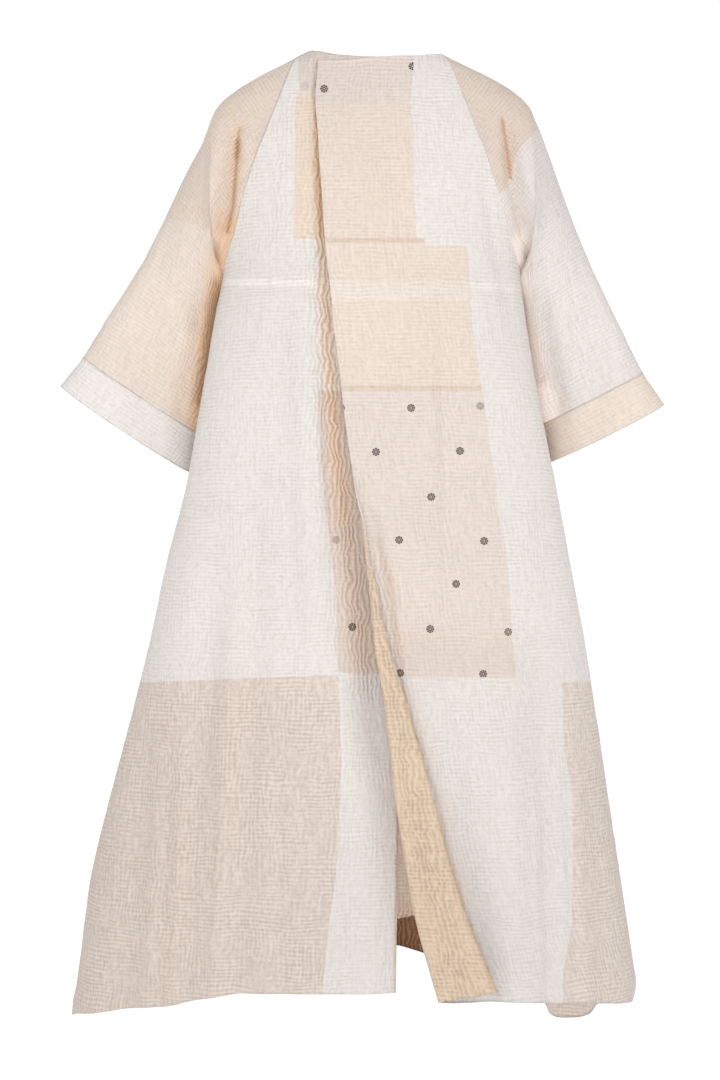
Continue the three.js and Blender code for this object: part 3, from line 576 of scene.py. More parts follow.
class Shading:
    """Short ways to add nodes to a material."""

    def __init__(self, tree):
        self.tree = tree

    def node(self, kind, **settings):
        made = self.tree.nodes.new(kind)
        for name, value in settings.items():
            setattr(made, name, value)
        return made

    def put(self, socket, value):
        if isinstance(value, bpy.types.NodeSocket):
            self.tree.links.new(value, socket)
        else:
            socket.default_value = value

    def math(self, operation, *values, clamp=False):
        made = self.node("ShaderNodeMath", operation=operation, use_clamp=clamp)
        for socket, value in zip(made.inputs, values):
            self.put(socket, value)
        return made.outputs[0]

    def ramp(self, value, low, high, low_out=0.0, high_out=1.0):
        made = self.node("ShaderNodeMapRange", interpolation_type="SMOOTHSTEP")
        for socket, entry in zip(made.inputs, (value, low, high, low_out, high_out)):
            self.put(socket, entry)
        return made.outputs[0]

    def blend(self, share, a, b, mode="MIX"):
        made = self.node("ShaderNodeMix", data_type="RGBA", blend_type=mode)
        first, second = made.inputs[6], made.inputs[7]
        self.put(made.inputs[0], share)
        self.put(first, a)
        self.put(second, b)
        return made.outputs[2]

    def times(self, a, b):
        return self.blend(1.0, a, b, mode="MULTIPLY")

    def number(self, name):
        return self.node("ShaderNodeAttribute", attribute_name=name).outputs["Fac"]

    def vector(self, name):
        return self.node("ShaderNodeAttribute", attribute_name=name).outputs["Vector"]

    def split(self, vector):
        made = self.node("ShaderNodeSeparateXYZ")
        self.put(made.inputs[0], vector)
        return made.outputs

    def join(self, x, y, z=0.0):
        made = self.node("ShaderNodeCombineXYZ")
        for socket, value in zip(made.inputs, (x, y, z)):
            self.put(socket, value)
        return made.outputs[0]

    def noise(self, vector, scale, detail=2.0):
        made = self.node("ShaderNodeTexNoise")
        self.put(made.inputs["Vector"], vector)
        self.put(made.inputs["Scale"], scale)
        self.put(made.inputs["Detail"], detail)
        return made.outputs[0]


DYE_SHARE = 0.82  # how much of a colour as it shows is the cloth's own, the rest is how brightly it is lit
ROW_PITCH = 0.0052
ROW_SWAY = 2.4
STITCH_PITCH = 0.0058
STITCH_SWAY = 3.0
STITCH_SHIFT = 0.22  # from row to row, in pitches
WAVE_PITCH = 0.0068
WAVE_SWAY = 3.6
PUFF, PUCKER, WRINKLE, CRINKLE, WAVE = 0.75, 0.3, 1.5, 1.9, 1.5  # shares of the relief
BUMP = 0.00055
# painted shade for the hollows of the relief and painted highlight for its tops
RELIEF_SHADE_DARK = (0.086, 0.094, 0.1)
RELIEF_HIGHLIGHT = 0.035
THREAD_SHOWS = 0.3
SHADE_COLOUR = (0.80, 0.60, 0.42, 1)
# painted shade for deep creases
CREASE_SHADE_COLOUR = (0.52, 0.33, 0.19, 1)
SEAM_COLOUR = (0.60, 0.46, 0.34, 1)
NO_LIGHT = (0, 0, 0, 1)
SHADE_GLOW_COLOUR = (1.0, 0.72, 0.47, 1)
SHADE_GLOW = 0.27  # painted warm glow, as emission, where painted shade lies
SOFT_GLOW_COLOUR = (1.0, 0.94, 0.88, 1)
SOFT_GLOW = 0.3  # painted glow, as emission, that lightens shaded cloth beside the body
GLOW = 0.2  # painted glow, as emission, on the cloth's inner face
THREAD_COLOUR = (208, 174, 138)
PRINT_COLOUR = (80, 64, 58)
WHITE = (237, 231, 227)
INSIDE_WHITE = (236, 231, 229)
REVERSE = (230, 208, 185)
SLEEVE_RIGHT_COLOUR = (234, 218, 205)
SLEEVE_LEFT_COLOUR = (230, 214, 201)
CUFF_RIGHT_COLOUR = (240, 235, 231)
CUFF_LEFT_COLOUR = (238, 224, 211)
PETALS = 8.0
PETALS_FAR = 3.0  # from the motif's middle, in the frame
DOTS_FAR = 1.3
MOTIF_REACH = 9


def dye(red, green, blue):
    def linear(level):
        level /= 255
        return level / 12.92 if level <= 0.04045 else ((level + 0.055) / 1.055) ** 2.4

    return tuple(DYE_SHARE * linear(level) for level in (red, green, blue)) + (1.0,)


class Cotton(Shading):
    """Two-layer cotton with rows of running stitch, over the cloth's own coordinates in metres."""

    def __init__(self, tree):
        super().__init__(tree)
        self.cloth = self.vector("cloth")
        self.along, self.down, _ = self.split(self.cloth)

    def grain(self, across, down):
        """Noise with so many features for each metre across and down the cloth."""
        wide, high = self.math("MULTIPLY", self.along, across), self.math("MULTIPLY", self.down, down)
        return self.noise(self.join(wide, high), 1.0, 2.0)

    def swaying(self, place, pitch, noise, sway):
        """A place counted in pitches, swayed by noise."""
        return self.math("MULTIPLY_ADD", noise, sway, self.math("DIVIDE", place, pitch))

    def wave(self, phase):
        return self.math("SINE", self.math("MULTIPLY", phase, 2 * math.pi))

    def rows(self):
        """The number of the nearest row of stitches, and how far it is, in pitches."""
        place = self.swaying(self.down, ROW_PITCH, self.grain(13.0, 26.0), ROW_SWAY)
        number = self.math("FLOOR", self.math("ADD", place, 0.5))
        return number, self.math("ABSOLUTE", self.math("SUBTRACT", place, number))

    def stitches(self, row_number):
        shift = self.node("ShaderNodeTexWhiteNoise", noise_dimensions="1D")
        self.put(shift.inputs["W"], row_number)
        place = self.swaying(self.along, STITCH_PITCH, self.grain(26.0, 20.0), STITCH_SWAY)
        return self.math("ADD", place, self.math("MULTIPLY", shift.outputs["Value"], STITCH_SHIFT))

    def thread(self, from_row, stitch):
        """Where thread shows: dashes along the rows, worn away in places."""
        part = self.math("FRACT", stitch)
        dash = self.math("MULTIPLY", self.ramp(part, 0.08, 0.24), self.ramp(part, 0.52, 0.7, 1.0, 0.0))
        on_thread = self.math("MULTIPLY", self.ramp(from_row, 0.08, 0.22, 1.0, 0.0), dash)
        return self.math("MULTIPLY", on_thread, self.ramp(self.grain(75.0, 110.0), 0.46, 0.66, 0.0, 1.0))

    def relief(self, from_row, stitch):
        """Height of the cloth: puffs between rows, puckers at stitches, wrinkles and fine crinkles."""
        rows_show = self.ramp(self.noise(self.cloth, 20.0, 2.0), 0.36, 0.62, 0.15, 1.0)
        puff = self.math("MULTIPLY", self.math("SUBTRACT", self.ramp(from_row, 0.0, 0.42), 0.5), rows_show)
        cells_show = self.ramp(self.grain(19.0, 13.0), 0.42, 0.62, 0.05, 1.0)
        pucker = self.math("MULTIPLY", self.wave(stitch), cells_show)
        wrinkle = self.math("SUBTRACT", self.grain(230.0, 34.0), 0.5)
        crinkle = self.math("SUBTRACT", self.noise(self.cloth, 170.0, 2.0), 0.5)
        height = self.math("MULTIPLY", crinkle, CRINKLE)
        for form, share in ((wrinkle, WRINKLE), (pucker, PUCKER), (puff, PUFF)):
            height = self.math("MULTIPLY_ADD", form, share, height)
        return height

    def ridges(self, wavy):
        """Waves down the cloth where it is drawn together, from 0 to 1."""
        place = self.swaying(self.along, WAVE_PITCH, self.grain(30.0, 34.0), WAVE_SWAY)
        return self.math("MULTIPLY", wavy, self.math("MULTIPLY_ADD", self.wave(place), 0.5, 0.5))

    def patchwork(self, base, patches):
        """The patches' colours over the base, with a soft line along each edge that has one."""
        colour, line = base, None
        for attribute, patch_colour, edge in patches:
            distance = self.number(attribute)
            colour = self.blend(self.ramp(distance, -0.4, 0.4, 1.0, 0.0), colour, patch_colour)
            if edge:
                near = self.ramp(self.math("ABSOLUTE", distance), 0.2, 1.0, 1.0, 0.0)
                here = self.math("MULTIPLY", near, edge)
                line = here if line is None else self.math("MAXIMUM", line, here)
        return colour if line is None else self.blend(line, colour, SEAM_COLOUR)

    def circle(self, far, radius, half_width, fades_at):
        """A soft circle's line."""
        off = self.math("ABSOLUTE", self.math("SUBTRACT", far, radius))
        return self.ramp(off, half_width, fades_at, 1.0, 0.0)

    def rosettes(self, printed):
        """Where the motifs show in the printed patches: a ring of petals round a smaller ring."""
        x, y, _ = self.split(self.vector("motif"))
        far = self.math("SQRT", self.math("MULTIPLY_ADD", x, x, self.math("MULTIPLY", y, y)))
        petals = self.math("COSINE", self.math("MULTIPLY", self.math("ARCTAN2", y, x), PETALS))
        ring = self.circle(far, PETALS_FAR, 0.6, 1.35)
        ring = self.math("MULTIPLY", ring, self.ramp(petals, -0.9, 0.1, 0.4, 1.0))
        dots = self.math("MULTIPLY", self.circle(far, DOTS_FAR, 0.35, 0.9), 0.9)
        room = self.number(printed[0])
        for attribute in printed[1:]:
            room = self.math("MINIMUM", room, self.number(attribute))
        shown = self.math("MULTIPLY", self.number("motif_strength"), self.ramp(room, -0.3, 0.5, 1.0, 0.0))
        return self.math("MULTIPLY", self.math("MAXIMUM", ring, dots), shown, clamp=True)

    def fade(self):
        """Slow random unevenness of the dye, times painted shade that darkens it a little towards the hem."""
        level = self.math("MULTIPLY", self.ramp(self.noise(self.cloth, 5.0, 3.0), 0.3, 0.7, 0.975, 1.015),
                          self.ramp(self.down, 0.7, 1.15, 1.0, 0.935))
        return self.join(level, level, level)

    def tone(self, level, contrast):
        """Painted shade in the relief's hollows and painted highlight on its tops, both slight."""
        dark = tuple(1 - share * contrast for share in RELIEF_SHADE_DARK) + (1,)
        light = 1 + RELIEF_HIGHLIGHT * contrast
        return self.blend(self.ramp(level, -0.85, 0.85), dark, (light, light, light, 1))

    def mark(self, name, ridge, share):
        """How strongly painted shade lies on the cloth, which changes on the ridges by a share."""
        on_ridge = self.math("MULTIPLY_ADD", ridge, share, 1.0)
        return self.math("MULTIPLY", self.number(name), on_ridge, clamp=True)


def cotton(name, base, patches=(), printed=(), strong_relief_shading="", relief=1.0, contrast=1.0, glow=0.0, face=""):
    """A material of two-layer cotton.

    patches are (attribute, colour, edge line strength), printed names those with motifs, the argument after it
    names a patch where the relief's painted shade and highlight are stronger, and face is what the names of
    the marks of this face of the cloth begin with.
    """
    material = bpy.data.materials.new(name)
    material.use_nodes = True
    s = Cotton(material.node_tree)
    row_number, from_row = s.rows()
    stitch = s.stitches(row_number)
    wavy = s.number(face + "wavy")
    ridge = s.ridges(wavy)
    raised = s.math("MULTIPLY_ADD", ridge, WAVE, s.relief(from_row, stitch))

    colour = s.patchwork(dye(*base), patches)
    if printed:
        colour = s.blend(s.rosettes(printed), colour, dye(*PRINT_COLOUR))
    # painted shade in the hollows of the relief and painted highlight on its tops
    tone = s.tone(s.math("MULTIPLY_ADD", wavy, -WAVE / 2, raised), contrast)
    # the dye's unevenness with painted shade towards the hem, then the relief's painted shade and highlight
    colour = s.times(s.times(colour, s.fade()), tone)
    # painted shade in the relief's hollows and painted highlight on its tops once more, inside that patch
    if strong_relief_shading:
        inside = s.ramp(s.number(strong_relief_shading), -0.4, 0.4, 0.9, 0.0)
        colour = s.blend(inside, colour, s.times(colour, tone))
    thread = s.math("MULTIPLY", s.thread(from_row, stitch), THREAD_SHOWS)
    unshaded = s.blend(thread, colour, dye(*THREAD_COLOUR))
    shaded = s.number(face + "shade")
    shade = s.mark(face + "shade", ridge, -0.8)
    colour = s.blend(shade, unshaded, s.times(unshaded, SHADE_COLOUR))
    # painted shade along deep creases
    crease = s.mark(face + "crease", ridge, -0.5)
    colour = s.blend(crease, colour, s.times(colour, CREASE_SHADE_COLOUR))

    bump = s.node("ShaderNodeBump")
    s.put(bump.inputs["Strength"], 1.0)
    s.put(bump.inputs["Distance"], BUMP * relief)
    s.put(bump.inputs["Height"], raised)
    # the through mark is where a painted glow lightens cloth in shade
    through = s.number(face + "through")
    # painted glow as emission: warm where painted shade lies, soft along the through lines, even by glow
    glow_tint = s.blend(s.math("MULTIPLY", through, 1.0, clamp=True), SHADE_GLOW_COLOUR, SOFT_GLOW_COLOUR)
    glow_strength = s.math("MULTIPLY_ADD", through, SOFT_GLOW, s.math("MULTIPLY_ADD", shaded, SHADE_GLOW, glow))
    shader = material.node_tree.nodes["Principled BSDF"]
    s.put(shader.inputs["Normal"], bump.outputs[0])
    s.put(shader.inputs["Base Color"], colour)
    s.put(shader.inputs["Emission Color"], s.blend(crease, s.times(unshaded, glow_tint), NO_LIGHT))
    s.put(shader.inputs["Emission Strength"], glow_strength)
    shader.inputs["Roughness"].default_value = 0.92
    shader.inputs["Specular IOR Level"].default_value = 0.18
    shader.inputs["Sheen Weight"].default_value = 0.06
    return material


def grain_height(cloth):
    """The cloth's small unevenness, which settles at its first and last rows."""
    u, v = cloth[..., 0], cloth[..., 1]
    total = sum(share * unevenness(u, v, width, height, seed) for width, height, seed, share in GRAIN_KINDS)
    row = np.arange(len(cloth))
    settle = ease(np.minimum(row, row[::-1]) / 3)[:, None]
    return GRAIN * total * settle


def shell_faces(outside, normals, closed):
    """Faces of a closed shell, whose inside points follow its outside ones, and how many a side has."""
    rows, columns = outside.shape[:2]
    number = np.arange(rows * columns).reshape(rows, columns)
    wide = np.concatenate([number, number[:, :1]], axis=1) if closed else number
    quads = np.stack([wide[:-1, :-1], wide[1:, :-1], wide[1:, 1:], wide[:-1, 1:]], axis=-1).reshape(-1, 4)
    corner = outside.reshape(-1, 3)[quads[0]]
    if np.cross(corner[1] - corner[0], corner[2] - corner[0]) @ normals[0, 0] < 0:
        quads = quads[:, ::-1]
    inner_quads = quads[:, ::-1] + rows * columns

    def rim(line):
        a, b = line[:-1], line[1:]
        return np.stack([a, b, b + rows * columns, a + rows * columns], axis=-1)

    rims = [rim(wide[0]), rim(wide[-1])[:, ::-1]]
    if not closed:
        rims += [rim(number[:, 0])[:, ::-1], rim(number[:, -1])]
    return np.concatenate([quads, inner_quads, *rims]), len(quads)


def write_mark(mesh, name, values):
    """Store a number or a pair for each point of the cloth, the same on its outside and its inside."""
    if values.ndim == 2:
        layer = mesh.attributes.new(name, "FLOAT", "POINT")
        layer.data.foreach_set("value", np.tile(values.ravel(), 2).astype(np.float32))
    else:
        vectors = np.concatenate([values, np.zeros_like(values[..., :1])], axis=-1).reshape(-1, 3)
        layer = mesh.attributes.new(name, "FLOAT_VECTOR", "POINT")
        layer.data.foreach_set("vector", np.tile(vectors, (2, 1)).ravel().astype(np.float32))


def cloth_object(name, grid, closed, cloth, marks, materials, facing):
    """A thin closed shell round a grid of middle points, with its outside towards facing."""
    normals = surface_normals(grid, closed)
    if (normals * facing).sum(axis=-1).mean() < 0:
        normals = -normals
    middle = grid + normals * grain_height(cloth)[..., None]
    outside = middle + normals * THICKNESS / 2
    inside = middle - normals * THICKNESS / 2
    points = np.concatenate([outside.reshape(-1, 3), inside.reshape(-1, 3)]) / METRE
    faces, side_count = shell_faces(outside, normals, closed)
    mesh = bpy.data.meshes.new(name)
    mesh.from_pydata(points.tolist(), [], faces.tolist())
    face_number = np.arange(len(faces))
    inner = (face_number >= side_count) & (face_number < 2 * side_count)
    mesh.polygons.foreach_set("material_index", inner.astype(np.int32))
    mesh.polygons.foreach_set("use_smooth", face_number < 2 * side_count)
    for material in materials:
        mesh.materials.append(material)
    write_mark(mesh, "cloth", cloth / METRE)
    for key, values in marks.items():
        write_mark(mesh, key, values)
    mesh.update()
    made = bpy.data.objects.new(name, mesh)
    scene.collection.objects.link(made)
    return made


# Motifs of the printed patches, by their middles in the frame, with how strongly each still shows.
MOTIFS_LAPPING = [
    (324.3, 89, 1), (412.5, 66.5, 1), (341, 408, 1), (411, 408, 1), (480, 406, 0.6), (376, 452, 1),
    (460, 451, 1), (431, 497, 1), (399, 540, 1), (484, 541, 1), (456, 584, 1), (430, 629, 1), (508, 632, 0.9),
    (400, 673, 1), (483, 674, 1), (371, 628, 0.8),
]
MOTIFS_UNDER = [(336, 540, 0.5), (352, 627, 1), (305, 86, 0.18), (378, 584, 0.8), (378, 495, 0.8)]


def motif_marks(places, motifs):
    """The way from the nearest motif's middle, and how strongly that motif shows."""
    offset = np.zeros(places.shape)
    strength = np.zeros(places.shape[:-1])
    nearest = np.full(strength.shape, np.inf)
    for x, y, share in motifs:
        away = places - np.array([x, y], float)
        distance = np.linalg.norm(away, axis=-1)
        closer = distance < nearest
        nearest = np.where(closer, distance, nearest)
        offset = np.where(closer[..., None], away, offset)
        strength = np.where(closer, np.where(distance < MOTIF_REACH, share, 0.0), strength)
    return {"motif": offset, "motif_strength": strength}


# Patches, each with its outline, its colour as it shows and the strength of the line along its edge.
PATCHES_UNDER = [
    ([(299, 30), (430, 30), (430, 92), (299.4, 91), (298.4, 67)], (229, 216, 209), 0.1),
    ([(299.4, 91), (430, 92), (430, 239), (294.4, 238.6), (294.4, 205), (295, 165), (295, 125), (296, 105)],
     (237, 221, 205), 0.1),
    ([(318, 391), (430, 391), (430, 673), (338, 673), (336, 593), (328, 530), (320, 450)],
     (228, 214, 205), 0.1),
    ([(20, 690), (100, 684), (137, 683), (338, 675), (341, 760), (340, 800), (335, 880), (328, 930),
      (317, 1040), (20, 1060)], (230, 216, 206), 0.14),
    # painted highlight along a ridge across the under front
    ([(205, 279), (316, 280), (316, 286), (205, 286)], (247, 242, 239), 0),
]
PATCHES_LAPPING = [
    ([(290, 30), (414.5, 30), (414, 60), (410, 103), (290, 103)], (232, 219, 211), 0.1),
    ([(290, 103), (410, 103), (412.5, 125), (416, 238), (290, 238)], (236, 221, 209), 0.08),
    ([(290, 238), (424, 238), (424, 246), (464, 246), (467, 248), (469, 270), (470, 303), (474, 344),
      (482, 389), (482, 391), (290, 391)], (237, 222, 209), 0.08),
    ([(290, 238), (424, 238), (424, 243), (290, 243)], (226, 206, 188), 0),
    ([(290, 281), (470, 281), (471, 300), (290, 300)], (239, 227, 216), 0),
    # painted highlight along a ridge across the lapping front
    ([(470, 282), (530, 286), (530, 292), (470, 290)], (242, 237, 233), 0),
    ([(290, 391), (482, 391), (487, 420), (490, 450), (500, 520), (507, 560), (511, 620), (515, 677),
      (290, 677)], (233, 220, 211), 0.1),
    ([(290, 385), (482, 386), (482, 391), (290, 391)], (228, 209, 192), 0),
    ([(562, 682), (700, 684), (700, 1060), (562, 1060), (563, 973), (572, 923), (573, 849), (572, 789),
      (564, 750)], (232, 220, 211), 0.14),
]
PATCHES_BACK_OUTSIDE = [
    ([(60, 20), (360, 20), (352, 262), (60, 262)], (233, 218, 206), 0.12),
    ([(430, 262), (700, 262), (700, 520), (436, 520)], (233, 218, 206), 0.12),
    ([(60, 690), (300, 690), (308, 1080), (60, 1080)], (222, 208, 198), 0.14),
    ([(470, 800), (700, 800), (700, 1080), (474, 1080)], (226, 212, 203), 0.14),
    ([(300, 520), (436, 520), (440, 760), (304, 760)], (229, 216, 208), 0.12),
]
PATCHES_BACK_INSIDE = [
    # the back's inside below a seam: a tan patch darkened further with painted shade
    ([(300, 919), (396, 919), (416, 915), (440, 914), (480, 930), (480, 1080), (300, 1080)],
     (150, 124, 102), 0),
    ([(60, 700), (300, 700), (308, 1080), (60, 1080)], (214, 192, 170), 0.14),
]
PATCHES_SLEEVE_RIGHT = [
    ([(40, 232), (150, 214), (300, 250), (300, 520), (40, 520)], (237, 223, 211), 0.05),
]
PATCHES_SLEEVE_LEFT = [
    ([(575, 100), (538, 128), (518, 150), (511, 172), (505, 190), (480, 205), (460, 520), (720, 520),
      (720, 100)], (235, 228, 224), 0.1),
]

# Soft lines in the frame, with half widths and strengths: painted shade where cloth lies in shade between
# folds, with a painted warm glow in it; painted shade where a crease is deep; where cloth is drawn into waves;
# and a painted glow that lightens cloth in shade.
SHADE_UNDER = [
    ([(317.9, 61), (316.2, 80), (315.2, 103)], 1.2, 0.7),
    ([(315.2, 103), (315.4, 130), (316.4, 165)], 1.9, 1.0),
    ([(316.4, 160), (318, 190), (319.5, 215), (321, 245), (323.5, 285)], 4.2, 1.0),
    ([(323, 280), (327, 330), (331, 400), (337, 460)], 8, 1.0),
    ([(337, 460), (345, 520)], 11, 0.8),
    ([(345, 520), (354, 600), (362, 660)], 13, 0.42),
    ([(307, 110), (306, 235)], 8, 0.1),
    ([(172, 700), (176, 850), (170, 1000)], 9, 0.08),
    ([(248, 580), (236, 720), (216, 880)], 11, 0.06),
    ([(399, 818), (397, 871), (396, 919), (395, 990)], 2.5, 0.35),
]
SHADE_LAPPING = [
    ([(384, 560), (392, 600), (400, 660)], 9, 0.12),
    ([(408, 690), (440, 790), (466, 900)], 9, 0.15),
]
SHADE_SLEEVE_RIGHT = [
    ([(238, 131), (237, 145), (236, 165), (234, 190), (231, 225)], 6, 0.55),
    ([(231, 112), (235, 122), (240, 127), (249, 125)], 2.2, 0.3),
    ([(232, 222), (222, 262), (214, 300), (207, 345), (198, 420)], 12, 1.0),
    ([(220, 270), (206, 330), (197, 390)], 15, 0.2),
]
SHADE_SLEEVE_LEFT = [
    ([(502, 121), (507, 150), (511, 178)], 3.5, 0.6),
    ([(505, 130), (513, 185), (520, 240)], 7, 0.2),
    ([(518, 250), (526, 300), (536, 355), (550, 430)], 6, 0.2),
]
CREASE_SHADE_UNDER = [
    ([(317.8, 62), (316, 90), (315.4, 130), (316.8, 165)], 0.9, 0.4),
    ([(317, 165), (319.5, 215), (321.5, 260)], 1.6, 0.4),
]
CREASE_SHADE_LAPPING = [
    # a wide band of painted shade over the lower print patch
    ([(405, 655), (505, 660)], 30, 0.09),
    ([(374, 512), (380, 540)], 3.5, 0.14),
    ([(380, 540), (388, 580), (396, 633), (401, 680)], 4, 0.34),
    ([(401, 680), (408, 710), (436, 795), (448, 855), (466, 915), (496, 993)], 2.6, 0.34),
]
CREASE_SHADE_SLEEVE_RIGHT = [
    ([(240, 129), (238, 141)], 1.6, 0.55),
    ([(238, 141), (237, 158)], 2.8, 1.0),
    ([(237, 158), (235.5, 178), (234, 205), (228, 232)], 1.9, 0.7),
    ([(217, 285), (212, 305), (207, 345), (199, 400)], 6, 0.55),
]
CREASE_SHADE_SLEEVE_LEFT = [
    ([(502, 121), (506, 143), (511, 178)], 1.8, 0.55),
]
# painted shadow under the inner hem and painted shade down the slit
CREASE_SHADE_INSIDE = [([(300, 921), (396, 921), (416, 917)], 2.5, 0.7), ([(396, 944), (455, 1004)], 32, 0.75)]
SHADE_INSIDE = [([(396, 935), (420, 935), (455, 995), (470, 1020)], 34, 0.7)]
WAVY_INSIDE = [([(396, 935), (430, 950), (470, 1020)], 40, 1.0)]
WAVY_UNDER = [
    ([(317, 60), (318, 240)], 7, 0.7),
    ([(321, 240), (330, 400), (350, 560), (364, 680)], 22, 1.0),
    ([(364, 680), (380, 800), (390, 980)], 14, 0.25),
    ([(308, 100), (306, 235)], 12, 0.35),
    ([(288, 105), (283, 150), (276, 235)], 9, 0.55),
    ([(172, 700), (176, 850), (170, 1000)], 14, 0.25),
    ([(248, 580), (236, 720), (216, 880)], 14, 0.2),
    ([(300, 700), (296, 850), (290, 1000)], 12, 0.2),
]
WAVY_LAPPING = [
    ([(324, 110), (326, 240), (342, 400), (366, 520)], 12, 0.3),
    ([(440, 240), (448, 400), (446, 560)], 14, 0.3),
    ([(372, 560), (392, 660), (420, 830), (462, 990)], 17, 0.75),
    ([(600, 720), (612, 860), (618, 990)], 14, 0.35),
]
# painted glow that lightens the sleeves' shaded cloth beside the body
GLOW_SLEEVE_RIGHT = [
    ([(188, 340), (178, 400)], 9, 0.45),
    ([(222, 150), (219, 215)], 8, 0.25),
    ([(212, 180), (212, 235)], 4, 0.4),
    ([(224, 240), (217, 270)], 6, 0.4),
]
GLOW_SLEEVE_LEFT = [
    ([(518, 240), (524, 290), (533, 340)], 9, 0.9),
    ([(533, 340), (539, 380)], 9, 1.0),
    ([(542, 390), (552, 435)], 11, 1.7),
]
WAVY_SLEEVE_RIGHT = [
    ([(236, 130), (234, 215), (214, 300), (198, 420)], 14, 0.55),
    ([(216, 160), (196, 260), (180, 360)], 16, 0.35),
]
WAVY_SLEEVE_LEFT = [
    ([(506, 130), (518, 215), (536, 320), (552, 430)], 12, 0.45),
    ([(545, 170), (560, 270), (585, 380)], 16, 0.35),
]
FLOOR_LEVEL = -1.52
FLOOR_HALF = 60
LAMPS = [  # name, place, what it is aimed at, watts and width
    ("key", (-1.7, -2.6, 0.9), (0, 0, -0.6), 15, 2.4),
    ("fill", (2.2, -2.2, 0.0), (0, 0, -0.8), 13, 2.4),
    ("front", (0, -3.5, -0.4), (0, 0, -0.65), 16, 2.0),
]


def face_marks(places, patches, shades=(), crease_shades=(), waves=(), thin=(), face=""):
    """Marks of a face of a piece: how far outside each patch a point is, and how strongly lines touch it."""
    marks = {}
    for k, (outline, _, _) in enumerate(patches):
        marks[f"{face}patch_{k}"] = outline_distance(places, outline)
    # shade and crease lines are painted shade, through lines a painted glow, wavy lines relief
    for kind, lines in (("shade", shades), ("crease", crease_shades), ("wavy", waves), ("through", thin)):
        marks[face + kind] = line_weight(places, lines)
    return marks


def patch_layers(patches, face=""):
    return [(f"{face}patch_{k}", dye(*colour), edge) for k, (_, colour, edge) in enumerate(patches)]


def panel_cloth(grid, reference):
    """Cloth coordinates of a panel: along its rows from a column, and down."""
    along = lengths(grid, 1)
    return np.stack([along - along[:, reference:reference + 1], -grid[..., 2]], axis=-1)


def tube_cloth(grid):
    """Cloth coordinates of a sleeve or cuff: round it from the top, and down to its end."""
    wide = lengths(np.concatenate([grid, grid[:, :1]], axis=1), 1)[:, :-1]
    top = grid.shape[1] // 2
    down = lengths(grid, 0)
    return np.stack([wide - wide[:, top:top + 1], down - down[-1:]], axis=-1)


def make_back():
    grid = back_panel()
    places = in_frame(grid)
    marks = face_marks(places, PATCHES_BACK_OUTSIDE)
    lines = (SHADE_INSIDE, CREASE_SHADE_INSIDE, WAVY_INSIDE)
    marks.update(face_marks(places, PATCHES_BACK_INSIDE, *lines, face="inner_"))
    outside = cotton("white_back", WHITE, patch_layers(PATCHES_BACK_OUTSIDE))
    # the back's inner face has an even painted glow
    inside = cotton("inside_back", INSIDE_WHITE, patch_layers(PATCHES_BACK_INSIDE, "inner_"), contrast=1.8,
                    glow=GLOW, face="inner_")
    cloth = panel_cloth(grid, grid.shape[1] // 2)
    return cloth_object("cloth_back", grid, False, cloth, marks, [outside, inside], outward(grid))


def make_front(name, grid, edge_column, patches, lines, motifs, printed, strong_relief_shading, reverse):
    """A front panel. What it has past the edge column is turned back, and its cloth is measured from there."""
    places = in_frame(grid)
    marks = face_marks(places, patches, *lines)
    marks.update(motif_marks(places, motifs))
    outside = cotton(f"white_{name}", WHITE, patch_layers(patches), printed, strong_relief_shading, contrast=1.2)
    facing = outward(grid)
    facing[:, edge_column + 1:] = 0
    cloth = panel_cloth(grid, edge_column)
    return cloth_object(f"cloth_front_{name}", grid, False, cloth, marks, [outside, reverse], facing)


def tube_object(name, grid, marks, materials):
    from_middle = grid - grid.mean(axis=1, keepdims=True)
    return cloth_object(name, grid, True, tube_cloth(grid), marks, materials, from_middle)


def make_sleeve(name, side, table, patches, lines, outside, band, reverse):
    """A sleeve with its cuff. lines are its painted shades, crease shades, waves and painted glows."""
    sleeve, cuff = sleeve_grid(side, table)
    sleeve_marks = face_marks(in_frame(sleeve), patches, *lines)
    cuff_marks = face_marks(in_frame(cuff), [])
    return {
        f"sleeve_{name}": tube_object(f"cloth_sleeve_{name}", sleeve, sleeve_marks, [outside, reverse]),
        f"cuff_{name}": tube_object(f"cloth_cuff_{name}", cuff, cuff_marks, [band, reverse]),
    }


